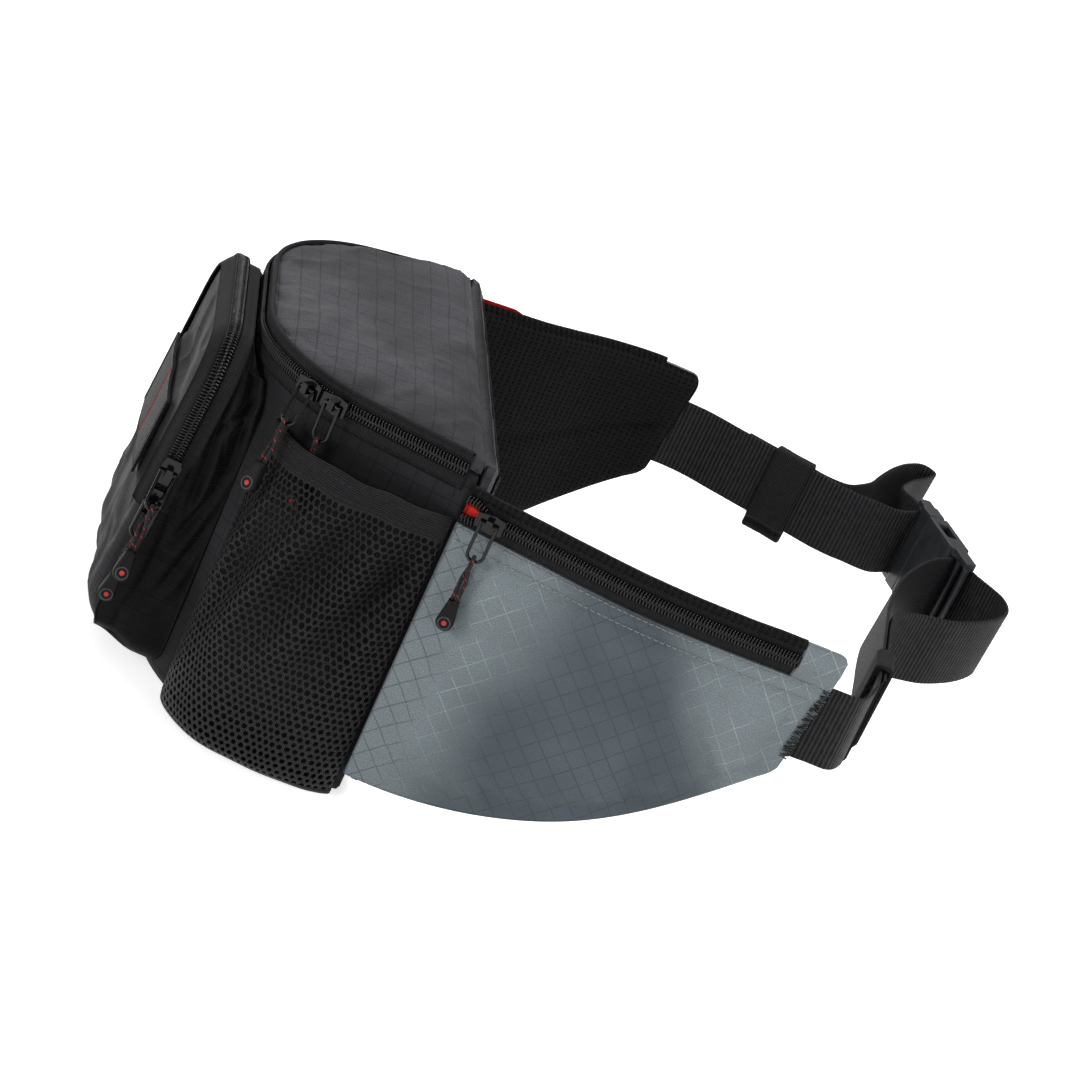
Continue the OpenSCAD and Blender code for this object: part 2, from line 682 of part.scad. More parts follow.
module loop(k) {
    half = loop_w / 2 - wire_r;
    leg = loop_l - half - 2 * wire_r;
    color(gunmetal) pull_frame(k) union() {
        rotate([0, 90, 0]) cylinder(r = wire_r, h = 2 * half, center = true);
        for (s = [-1, 1]) translate([s * half, 0, 0]) {
            sphere(r = wire_r);
            rotate([90, 0, 0]) cylinder(r = wire_r, h = leg);
        }
        translate([0, -leg, 0]) rotate([0, 0, 180]) rotate_extrude(angle = 180)
            translate([half, 0]) circle(r = wire_r);
    }
}

eye_r = wire_r + cord_r + 0.15;
loop_low = loop_l - wire_r - wire_r;
module cord(k) {
    color(red) pull_frame(k) translate([0, -loop_low, 0]) rotate([0, 90, 0]) {
        rotate_extrude(angle = 180) translate([eye_r, 0]) circle(r = cord_r, $fn = 16);
        for (s = [-1, 1]) translate([s * eye_r, 0, 0]) rotate([90, 0, 0])
            cylinder(r = cord_r, h = cord_l, $fn = 16);
    }
}

module tip(k) {
    neck = tip_r * 0.62;
    len_c = tip_l - tip_r;
    color(web_black) pull_frame(k) translate([0, -loop_low - cord_l - fit / 3, -tip_t / 2]) difference() {
        linear_extrude(tip_t)
            polygon(concat([[neck, 0]], arc([0, -len_c], tip_r, 0, -180, 12), [[-neck, 0]]));
        translate([0, -len_c, tip_t - 0.6]) cylinder(r = tip_r * 0.68, h = 1);
    }
}

module lid_slider_front() { slider(0); }
module lid_loop_front() { loop(0); }
module lid_cord_front() { cord(0); }
module lid_tip_front() { tip(0); }
module lid_slider_rear() { slider(1); }
module lid_loop_rear() { loop(1); }
module lid_cord_rear() { cord(1); }
module lid_tip_rear() { tip(1); }
module pocket_slider_upper() { slider(2); }
module pocket_loop_upper() { loop(2); }
module pocket_cord_upper() { cord(2); }
module pocket_tip_upper() { tip(2); }
module pocket_slider_lower() { slider(3); }
module pocket_loop_lower() { loop(3); }
module pocket_cord_lower() { cord(3); }
module pocket_tip_lower() { tip(3); }
module wing_slider_near() { slider(4); }
module wing_loop_near() { loop(4); }
module wing_cord_near() { cord(4); }
module wing_tip_near() { tip(4); }
module wing_slider_far() { slider(5); }
module wing_loop_far() { loop(5); }
module wing_cord_far() { cord(5); }
module wing_tip_far() { tip(5); }

back_panel();
back_mesh();
main_shell();
lid_panel();
lid_zip_tape_upper();
lid_zip_coil_upper();
lid_zip_tape_lower();
lid_zip_coil_lower();
front_pocket_shell();
front_pocket_flap();
front_zip_tape_flap();
front_zip_coil_flap();
front_zip_tape_shell();
front_zip_coil_shell();
gear_webbing();
mesh_pocket_near();
mesh_pocket_far();
mesh_bindings();
wing_panel_near();
wing_panel_far();
wing_pad_near();
wing_pad_far();
wing_zip_tapes();
wing_zip_coils();
wing_linings();
wing_end_tabs();
belt_near();
belt_far();
keeper_near();
keeper_far();
buckle_female();
buckle_male();
latch_arm_upper();
latch_arm_lower();
lid_slider_front();
lid_loop_front();
lid_cord_front();
lid_tip_front();
lid_slider_rear();
lid_loop_rear();
lid_cord_rear();
lid_tip_rear();
pocket_slider_upper();
pocket_loop_upper();
pocket_cord_upper();
pocket_tip_upper();
pocket_slider_lower();
pocket_loop_lower();
pocket_cord_lower();
pocket_tip_lower();
wing_slider_near();
wing_loop_near();
wing_cord_near();
wing_tip_near();
wing_slider_far();
wing_loop_far();
wing_cord_far();
wing_tip_far();
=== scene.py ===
"""Waist pack: cloth, zips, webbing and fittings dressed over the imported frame.

Lengths inside the classes are in millimetres, in the frame of the part. They become metres when a mesh
is made.
"""

import logging
import math
from dataclasses import dataclass, field
from enum import Enum
from typing import Callable, Optional, Sequence

import bmesh
import bpy
import numpy as np
from mathutils import Matrix, Vector


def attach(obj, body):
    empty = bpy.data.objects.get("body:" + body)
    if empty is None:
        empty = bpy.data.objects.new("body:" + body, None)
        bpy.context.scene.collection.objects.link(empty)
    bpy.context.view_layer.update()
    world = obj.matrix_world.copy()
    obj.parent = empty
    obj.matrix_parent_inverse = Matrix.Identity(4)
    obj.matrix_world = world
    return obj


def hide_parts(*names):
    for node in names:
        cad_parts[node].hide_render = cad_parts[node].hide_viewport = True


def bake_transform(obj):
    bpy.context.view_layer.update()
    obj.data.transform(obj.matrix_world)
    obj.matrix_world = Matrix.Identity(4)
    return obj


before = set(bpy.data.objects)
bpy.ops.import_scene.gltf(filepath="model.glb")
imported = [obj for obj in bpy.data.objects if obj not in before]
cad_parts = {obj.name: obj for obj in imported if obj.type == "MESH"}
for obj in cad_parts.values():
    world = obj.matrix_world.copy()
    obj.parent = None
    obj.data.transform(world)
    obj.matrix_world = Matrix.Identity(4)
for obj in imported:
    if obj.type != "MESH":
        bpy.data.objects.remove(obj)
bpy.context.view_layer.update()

MM = 0.001
TINY = 1e-9
Colour = tuple[float, float, float]
Array = np.ndarray
Piece = bpy.types.Object
Socket = bpy.types.NodeSocket
Part = tuple[Array, list[list[int]], Array]
UP = np.array([0.0, 0.0, 1.0])
FRONT = np.array([0.0, -1.0, 0.0])
log = logging.getLogger("waist_pack")


# ---- numbers and noise


def smooth(value: Array, low: float, high: float) -> Array:
    """Return a smooth step of value, 0 at low and 1 at high."""
    t = np.clip((np.asarray(value, float) - low) / (high - low), 0.0, 1.0)
    return t * t * (3.0 - 2.0 * t)


def bell(value: Array, centre: float, width: float) -> Array:
    """Return a bump of height 1 at centre that fades over width."""
    return np.exp(-(((np.asarray(value, float) - centre) / width) ** 2))


def unit(vectors: Array) -> Array:
    """Return vectors with their lengths made 1."""
    return vectors / np.maximum(np.linalg.norm(vectors, axis=-1, keepdims=True), TINY)


def heading(degrees: float) -> Array:
    """Return the direction in plan at an angle from +X."""
    return np.array([math.cos(math.radians(degrees)), math.sin(math.radians(degrees))])


def lengths(points: Array) -> Array:
    """Return the length run from the first of a line's points to each of them."""
    return np.concatenate([[0.0], np.cumsum(np.linalg.norm(np.diff(points, axis=0), axis=1))])


def cloth_map(along: Array, across: Array) -> Array:
    """Return the cloth coordinates of a grid in metres, from its lengths both ways in millimetres."""
    return np.stack(np.meshgrid(along, across, indexing="ij"), -1) * MM


@dataclass(frozen=True)
class Noise:
    """Smooth lattice noise in two dimensions, the same on every run."""

    seed: int = 1

    def _hash(self, ix: Array, iy: Array) -> Array:
        """Return a value from -1 to 1 for each lattice point."""
        h = (ix.astype(np.int64) * 73856093) ^ (iy.astype(np.int64) * 19349663) ^ (self.seed * 83492791)
        h = (h ^ (h >> 13)) * 1274126177
        return ((h ^ (h >> 16)) & 0xFFFF) / 32767.5 - 1.0

    def at(self, x: Array, y: Array, scale: float) -> Array:
        """Return the noise at points x, y.

        Args:
            x: first coordinates.
            y: second coordinates.
            scale: size of one lattice cell, in the unit of x and y.

        Returns:
            Values from about -1 to 1.
        """
        px, py = np.asarray(x, float) / scale, np.asarray(y, float) / scale
        ix, iy = np.floor(px), np.floor(py)
        fx, fy = px - ix, py - iy
        fx, fy = fx * fx * (3 - 2 * fx), fy * fy * (3 - 2 * fy)
        a, b = self._hash(ix, iy), self._hash(ix + 1, iy)
        c, d = self._hash(ix, iy + 1), self._hash(ix + 1, iy + 1)
        return (a * (1 - fx) + b * fx) * (1 - fy) + (c * (1 - fx) + d * fx) * fy

    def layered(self, x: Array, y: Array, scale: float, octaves: int = 3) -> Array:
        """Return several sizes of the noise added up, each half as large and half as strong."""
        total = np.zeros(np.broadcast(x, y).shape)
        for k in range(octaves):
            total += self.at(np.asarray(x) + 37.7 * k, np.asarray(y) - 19.3 * k, scale / 2**k) / 2**k
        return total

    def creases(self, x: Array, y: Array, scale: float, octaves: int = 2) -> Array:
        """Return ridged noise from 0 to 1 whose crests are sharp, as creased cloth has."""
        return 1.0 - np.minimum(np.abs(self.layered(x, y, scale, octaves)) * 1.6, 1.0)


# ---- paths in a plane


@dataclass
class Path:
    """An open or closed line in a plane with its arc length and the normals on its outer side."""

    points: Array
    normals: Array
    run: Array = field(init=False)

    def __post_init__(self) -> None:
        """Work out the arc length at each point."""
        self.run = lengths(self.points)

    @classmethod
    def through(cls, points: Array, side: float = 1.0) -> "Path":
        """Make a path through points, with normals to the right of its direction, or left if side is -1."""
        p = np.asarray(points, float)
        d = unit(np.gradient(p, axis=0))
        return cls(p, side * np.stack([d[:, 1], -d[:, 0]], 1))

    @property
    def length(self) -> float:
        """Length of the whole line."""
        return float(self.run[-1])

    def at(self, s: Array) -> tuple[Array, Array]:
        """Return the points and unit normals at arc lengths s."""
        p = np.stack([np.interp(s, self.run, self.points[:, k]) for k in (0, 1)], -1)
        n = np.stack([np.interp(s, self.run, self.normals[:, k]) for k in (0, 1)], -1)
        return p, unit(n)

    def find(self, axis: int, value: float, start: float = 0.0) -> float:
        """Return the first arc length after start at which coordinate axis passes value."""
        c = self.points[:, axis] - value
        for i in range(len(c) - 1):
            if self.run[i + 1] > start and c[i] * c[i + 1] <= 0 and c[i] != c[i + 1]:
                return float(self.run[i] + (self.run[i + 1] - self.run[i]) * c[i] / (c[i] - c[i + 1]))
        return self.length


def arc(centre: Sequence[float], radius: float, first: float, last: float, count: int) -> Array:
    """Return count + 1 points on an arc, with angles in degrees."""
    a = np.radians(np.linspace(first, last, count + 1))
    return np.asarray(centre, float) + radius * np.stack([np.cos(a), np.sin(a)], 1)


def curve(points: Sequence[Sequence[float]], steps: int) -> Array:
    """Return a smooth curve through points, with knots spaced by the root of the chord."""
    p = np.asarray(points, float)
    q = np.concatenate([[2 * p[0] - p[1]], p, [2 * p[-1] - p[-2]]])
    out = []
    for i in range(len(p) - 1):
        a, b, c, d = q[i : i + 4]
        t1 = max(np.linalg.norm(b - a), 1e-3) ** 0.5
        t2 = t1 + max(np.linalg.norm(c - b), 1e-3) ** 0.5
        t3 = t2 + max(np.linalg.norm(d - c), 1e-3) ** 0.5
        for t in np.linspace(t1, t2, steps, endpoint=False):
            ab = ((t1 - t) * a + t * b) / t1
            bc = ((t2 - t) * b + (t - t1) * c) / (t2 - t1)
            cd = ((t3 - t) * c + (t - t2) * d) / (t3 - t2)
            abc = ((t2 - t) * ab + t * bc) / t2
            bcd = ((t3 - t) * bc + (t - t1) * cd) / (t3 - t1)
            out.append(((t2 - t) * abc + (t - t1) * bcd) / (t2 - t1))
    return np.array(out + [p[-1]])


# ---- meshes


def mesh_object(name: str, points: Array, faces: Sequence[Sequence[int]],
                uvs: Optional[Array] = None) -> Piece:
    """Make an object from points in millimetres.

    Args:
        name: name of the object.
        points: one row of x, y, z per vertex.
        faces: vertex indices of each face.
        uvs: one row per vertex, in metres along the cloth, or None.

    Returns:
        The new object, smooth shaded, at the frame's origin.
    """
    mesh = bpy.data.meshes.new(name)
    metres = np.asarray(points, float).reshape(-1, 3) * MM
    mesh.from_pydata(metres.tolist(), [], [list(map(int, f)) for f in faces])
    if uvs is not None:
        layer = mesh.uv_layers.new(name="Cloth")
        index = np.empty(len(mesh.loops), np.int64)
        mesh.loops.foreach_get("vertex_index", index)
        layer.data.foreach_set("uv", np.asarray(uvs, np.float32)[index].ravel())
    mesh.polygons.foreach_set("use_smooth", [True] * len(mesh.polygons))
    mesh.update()
    obj = bpy.data.objects.new(name, mesh)
    bpy.context.scene.collection.objects.link(obj)
    return obj


def grid_faces(rows: int, cols: int, wrap_rows: bool = False, wrap_cols: bool = False) -> list[list[int]]:
    """Return the quads of a grid of points stored row by row."""
    out = []
    for i in range(rows if wrap_rows else rows - 1):
        for j in range(cols if wrap_cols else cols - 1):
            k, m = (i + 1) % rows, (j + 1) % cols
            out.append([i * cols + j, k * cols + j, k * cols + m, i * cols + m])
    return out


def grid_normals(grid: Array, wrap_rows: bool = False) -> Array:
    """Return the unit normals of a grid of points, on the side that its quads face."""
    def slope(a: Array, axis: int, wrap: bool) -> Array:
        """Difference along one axis of the grid."""
        return np.roll(a, -1, axis) - np.roll(a, 1, axis) if wrap else np.gradient(a, axis=axis)

    return unit(np.cross(slope(grid, 0, wrap_rows), slope(grid, 1, False)))


def grid_uvs(grid: Array) -> Array:
    """Return the lengths along the rows and columns of a grid, in metres, measured along its middle lines."""
    rows, cols = grid.shape[:2]
    return cloth_map(lengths(grid[:, cols // 2]), lengths(grid[rows // 2]))


@dataclass
class Sheet:
    """A piece of cloth as a grid of points on its outer face, row by row, in millimetres."""

    grid: Array
    wrap: bool = False
    uvs: Optional[Array] = None

    def __post_init__(self) -> None:
        """Measure the cloth before it is pushed about, unless that was done already."""
        if self.uvs is None:
            self.uvs = grid_uvs(self.grid)

    @property
    def normals(self) -> Array:
        """Unit normals on the outer face."""
        return grid_normals(self.grid, self.wrap)

    def push(self, amount: Array) -> "Sheet":
        """Return the sheet moved along its normals by an amount at each point."""
        return Sheet(self.grid + self.normals * np.asarray(amount)[..., None], self.wrap, self.uvs)

    def solid(self, name: str, thickness: Array | float, rounded: bool = True) -> Piece:
        """Make the sheet a closed solid of a thickness, with an edge that is rolled a little.

        Args:
            name: name of the object.
            thickness: thickness of the cloth in millimetres, or one for each point.
            rounded: whether the edge bulges outward by half the thickness.

        Returns:
            The new object.
        """
        rows, cols = self.grid.shape[:2]
        thickness = np.broadcast_to(np.asarray(thickness, float), (rows, cols))
        back = self.grid - self.normals * thickness[..., None]
        count = rows * cols
        faces = grid_faces(rows, cols, self.wrap)
        points = np.concatenate([self.grid.reshape(-1, 3), back.reshape(-1, 3)])
        uvs = np.concatenate([self.uvs.reshape(-1, 2)] * 2)
        every = faces + [[count + i for i in reversed(f)] for f in faces]
        border = self._border(rows, cols)
        extra: list[Array] = []
        extra_uv: list[Array] = []
        for loop in border:
            middle = (points[loop] + points[[count + i for i in loop]]) / 2
            if rounded:
                inward = unit(points[loop] - points[self._inner(loop, rows, cols)])
                middle = middle + inward * thickness.reshape(-1)[loop][:, None] * 0.35
            start = len(points) + sum(len(e) for e in extra)
            extra.append(middle)
            extra_uv.append(uvs[loop])
            n = len(loop)
            closed = len(border) == 1 or self.wrap
            for i in range(n if closed else n - 1):
                j = (i + 1) % n
                every.append([loop[j], loop[i], start + i, start + j])
                every.append([start + j, start + i, count + loop[i], count + loop[j]])
        return mesh_object(name, np.concatenate([points] + extra), every, np.concatenate([uvs] + extra_uv))

    def _border(self, rows: int, cols: int) -> list[list[int]]:
        """Return the loops of vertices round the edge, in the direction that their faces need."""
        if self.wrap:
            return [[i * cols + cols - 1 for i in range(rows)], [i * cols for i in range(rows - 1, -1, -1)]]
        loop = [i * cols for i in range(rows - 1, -1, -1)]
        loop += list(range(1, cols))
        loop += [i * cols + cols - 1 for i in range(1, rows)]
        loop += [(rows - 1) * cols + j for j in range(cols - 2, 0, -1)]
        return [loop]

    def _inner(self, loop: Sequence[int], rows: int, cols: int) -> list[int]:
        """Return for each border vertex its neighbour towards the middle of the sheet."""
        out = []
        for k in loop:
            i, j = divmod(k, cols)
            if not self.wrap:
                i = min(max(i, 1), rows - 2)
            out.append(i * cols + min(max(j, 1), cols - 2))
        return out


TUBE_CLOTH = 6.0


def tube(name: str, line: Array, radius: Array | float, sides: int = 8, closed: bool = False) -> Piece:
    """Make a round tube along a line.

    Args:
        name: name of the object.
        line: points of the middle line in millimetres.
        radius: radius in millimetres, or one for each point.
        sides: number of sides.
        closed: whether the line joins up with its start.

    Returns:
        The new object, with its length along the cloth's first coordinate.
    """
    points, faces, uvs = tube_parts(np.asarray(line, float), radius, sides, closed)
    return mesh_object(name, points, faces, uvs)


def tube_parts(p: Array, radius: Array | float, sides: int, closed: bool) -> Part:
    """Return the points, faces and cloth coordinates of a tube along points p."""
    n = len(p)
    t = unit(np.roll(p, -1, 0) - np.roll(p, 1, 0) if closed else np.gradient(p, axis=0))
    side = np.cross(t[0], [0.31, 0.57, 0.76])
    frames = []
    for i in range(n):
        side = side - t[i] * (side @ t[i])
        side /= max(np.linalg.norm(side), TINY)
        frames.append(side.copy())
    u = np.array(frames)
    v = np.cross(t, u)
    a = np.linspace(0, 2 * math.pi, sides, endpoint=False)
    r = np.broadcast_to(np.asarray(radius, float), (n,))[:, None, None]
    ring = p[:, None] + r * (u[:, None] * np.cos(a)[None, :, None] + v[:, None] * np.sin(a)[None, :, None])
    faces = [f[::-1] for f in grid_faces(n, sides, closed, True)]
    points = ring.reshape(-1, 3)
    if not closed:
        faces.append(list(range(sides))[::-1])
        faces.append([(n - 1) * sides + k for k in range(sides)])
    return points, faces, cloth_map(lengths(p), a / (2 * math.pi) * TUBE_CLOTH).reshape(-1, 2)


def merged(name: str, parts: Sequence[Part]) -> Piece:
    """Make one object from several sets of points, faces and cloth coordinates."""
    points, faces, uvs, base = [], [], [], 0
    for p, f, uv in parts:
        points.append(p)
        uvs.append(uv)
        faces += [[base + i for i in face] for face in f]
        base += len(p)
    return mesh_object(name, np.concatenate(points), faces, np.concatenate(uvs))


def apply_modifiers(obj: Piece) -> None:
    """Replace an object's mesh by what its modifiers make of it."""
    graph = bpy.context.evaluated_depsgraph_get()
    graph.update()
    shaped = obj.evaluated_get(graph)
    mesh = bpy.data.meshes.new_from_object(shaped, preserve_all_data_layers=True, depsgraph=graph)
    obj.modifiers.clear()
    old, obj.data = obj.data, mesh
    mesh.name = obj.name
    bpy.data.meshes.remove(old)
    mesh.polygons.foreach_set("use_smooth", [True] * len(mesh.polygons))


# ---- runs in space


@dataclass
class Run:
    """A line in space that a zip or seam follows, with an upward and an outward direction at each point."""

    points: Array
    up: Array
    out: Array
    run: Array = field(init=False)

    def __post_init__(self) -> None:
        """Work out the length run at each point."""
        self.up = np.broadcast_to(np.asarray(self.up, float), self.points.shape)
        self.run = lengths(self.points)

    @property
    def length(self) -> float:
        """Length of the whole line."""
        return float(self.run[-1])

    def _mix(self, table: Array, s: Array) -> Array:
        """Interpolate a table of vectors at lengths s."""
        return np.stack([np.interp(s, self.run, table[:, k]) for k in range(3)], -1)

    def at(self, s: Array, across: Array = 0.0, out: Array = 0.0) -> Array:
        """Return points at lengths s, moved across in the upward direction and out in the outward one."""
        s, across, out = np.broadcast_arrays(np.asarray(s, float), across, out)
        u, n = unit(self._mix(self.up, s)), unit(self._mix(self.out, s))
        return self._mix(self.points, s) + u * across[..., None] + n * out[..., None]


def facing(grid: Array, out: Array, cut: Optional[tuple[Array, Array]] = None) -> Sheet:
    """Return a sheet of a grid of points, turned so that it faces out.

    Args:
        grid: the points.
        out: directions that it has to face.
        cut: coordinates along and up the flat cloth at each point, where the grid isn't square to the weave.

    Returns:
        The sheet.
    """
    uvs = None if cut is None else np.stack(np.broadcast_arrays(*cut), -1) * MM
    if float(np.mean(np.sum(grid_normals(grid) * out, -1))) < 0:
        grid = grid[:, ::-1]
        uvs = None if uvs is None else uvs[:, ::-1]
    return Sheet(grid, False, uvs)


SETTLE_FRAMES = 22
SETTLE_SCALE = 10.0
THREAD_STIFF = 12.0
BEND_STIFF = 0.6


def settle(sheet: Sheet, held: Array, grow: float, swell: float, limit: float) -> Sheet:
    """Let a cloth simulation fold a sheet that is cut a little larger than its frame.

    Args:
        sheet: the sheet before it folds.
        held: how firmly each point is held, 0 loose to 1 sewn down.
        grow: how much larger the cloth is than the space it is sewn into.
        swell: push from what lies behind it.
        limit: most that a point may move, in millimetres.
    """
    rows, cols = sheet.grid.shape[:2]
    obj = mesh_object("settling", sheet.grid * SETTLE_SCALE, grid_faces(rows, cols, sheet.wrap))
    group = obj.vertex_groups.new(name="held")
    for index, weight in enumerate(np.asarray(held, float).ravel()):
        group.add([index], float(weight), "REPLACE")
    cloth = obj.modifiers.new("cloth", "CLOTH")
    s = cloth.settings
    s.quality, s.mass = 6, 0.3
    s.tension_stiffness = s.compression_stiffness = THREAD_STIFF
    s.shear_stiffness, s.bending_stiffness = THREAD_STIFF * 0.5, BEND_STIFF
    s.tension_damping = s.compression_damping = 5.0
    s.air_damping = 1.0
    s.vertex_group_mass, s.pin_stiffness = "held", 1.0
    s.shrink_min = -grow
    s.use_pressure, s.uniform_pressure_force = True, swell
    s.effector_weights.gravity = 0.0
    cloth.collision_settings.use_collision = False
    cloth.point_cache.frame_start, cloth.point_cache.frame_end = 1, SETTLE_FRAMES
    scene = bpy.context.scene
    for f in range(1, SETTLE_FRAMES + 1):
        scene.frame_set(f)
    graph = bpy.context.evaluated_depsgraph_get()
    done = obj.evaluated_get(graph).to_mesh()
    flat = np.empty(len(done.vertices) * 3)
    done.vertices.foreach_get("co", flat)
    moved = flat.reshape(rows, cols, 3) / MM / SETTLE_SCALE - sheet.grid
    obj.evaluated_get(graph).to_mesh_clear()
    mesh = obj.data
    bpy.data.objects.remove(obj)
    bpy.data.meshes.remove(mesh)
    scene.frame_set(1)
    far = np.linalg.norm(moved, axis=-1, keepdims=True)
    keep = limit * np.tanh(far / limit) / np.maximum(far, TINY)
    log.info("cloth settled: moved by up to %.1f mm, %.1f mm on average", far.max(), far.mean())
    return Sheet(sheet.grid + moved * keep, sheet.wrap, sheet.uvs)


# ---- finishes


class Tree:
    """The node tree of one material, with its surface shader ready to be fed."""

    def __init__(self, name: str) -> None:
        """Start a material with a Principled surface and the cloth's own coordinates in metres."""
        self.material = bpy.data.materials.new(f"{name}_finish")
        self.material.use_nodes = True
        self.tree = self.material.node_tree
        self.shader = next(n for n in self.tree.nodes if n.type == "BSDF_PRINCIPLED")
        self.cloth = self.add("ShaderNodeTexCoord").outputs["UV"]
        self.space = self.add("ShaderNodeTexCoord").outputs["Object"]

    def add(self, kind: str, inputs: Optional[dict] = None, **settings: object) -> bpy.types.Node:
        """Add a node with settings, and link or set its inputs by name or number."""
        node = self.tree.nodes.new(kind)
        for key, value in settings.items():
            setattr(node, key, value)
        for key, value in (inputs or {}).items():
            self.feed(node.inputs[key], value)
        return node

    def feed(self, socket: Socket, value: object) -> None:
        """Link a socket to an output, or set its value."""
        if isinstance(value, Socket):
            self.tree.links.new(value, socket)
        elif isinstance(value, tuple) and len(value) == 3 and socket.type == "RGBA":
            socket.default_value = (*value, 1.0)
        else:
            socket.default_value = value

    def math(self, kind: str, a: object, b: object = 0.0) -> Socket:
        """Return the result of a sum on two values."""
        return self.add("ShaderNodeMath", {0: a, 1: b}, operation=kind).outputs[0]

    def moved(self, vector: Socket, scale: Sequence[float] = (1, 1, 1), turn: float = 0.0) -> Socket:
        """Return coordinates that are turned about Z by an angle in degrees and scaled."""
        return self.add("ShaderNodeMapping", {"Vector": vector, "Rotation": (0.0, 0.0, math.radians(turn)),
                                              "Scale": tuple(scale)}).outputs[0]

    def noise(self, vector: Socket, scale: float, detail: float = 3.0, rough: float = 0.55) -> Socket:
        """Return soft noise from 0 to 1 with scale cells per metre."""
        return self.add("ShaderNodeTexNoise", {"Vector": vector, "Scale": scale, "Detail": detail,
                                               "Roughness": rough}).outputs[0]

    def wave(self, vector: Socket, per_metre: float, axis: str = "X", bend: float = 0.0) -> Socket:
        """Return a sine from 0 to 1 with so many waves per metre along an axis."""
        return self.add("ShaderNodeTexWave", {"Vector": vector, "Scale": per_metre * math.pi / 10.0,
                                              "Distortion": bend, "Detail": 1.0}, wave_type="BANDS",
                        bands_direction=axis, wave_profile="SIN").outputs["Fac"]

    def ramp(self, value: object, low: float, high: float, to_low: float = 0.0,
             to_high: float = 1.0) -> Socket:
        """Return a smooth step of a value from low to high."""
        inputs = {"Value": value, "From Min": low, "From Max": high, "To Min": to_low, "To Max": to_high}
        return self.add("ShaderNodeMapRange", inputs, interpolation_type="SMOOTHSTEP").outputs[0]

    def mix(self, share: object, a: object, b: object) -> Socket:
        """Return a colour between a and b."""
        node = self.add("ShaderNodeMix", data_type="RGBA")
        self.feed(node.inputs["Factor"], share)
        self.feed(node.inputs["A"], a)
        self.feed(node.inputs["B"], b)
        return node.outputs["Result"]

    def bump(self, height: object, distance: float, strength: float,
             below: Optional[Socket] = None) -> Socket:
        """Return a normal raised by a height from 0 to 1 over a distance in mm, on top of another bump."""
        node = self.add("ShaderNodeBump", {"Height": height, "Distance": distance * MM, "Strength": strength})
        if below is not None:
            self.feed(node.inputs["Normal"], below)
        return node.outputs[0]

    def done(self, colour: object, rough: object, normal: Optional[Socket] = None,
             **uniform: float) -> bpy.types.Material:
        """Feed the surface shader and return the material."""
        self.feed(self.shader.inputs["Base Color"], colour)
        self.feed(self.shader.inputs["Roughness"], rough)
        if normal is not None:
            self.feed(self.shader.inputs["Normal"], normal)
        for key, value in uniform.items():
            self.feed(self.shader.inputs[key.replace("_", " ")], value)
        return self.material


def linear(red: int, green: int, blue: int) -> Colour:
    """Return a colour written as it looks on a screen, 0 to 255, as light."""
    shares = (red / 255, green / 255, blue / 255)
    return tuple(((c + 0.055) / 1.055) ** 2.4 if c > 0.0393 else c / 12.92 for c in shares)


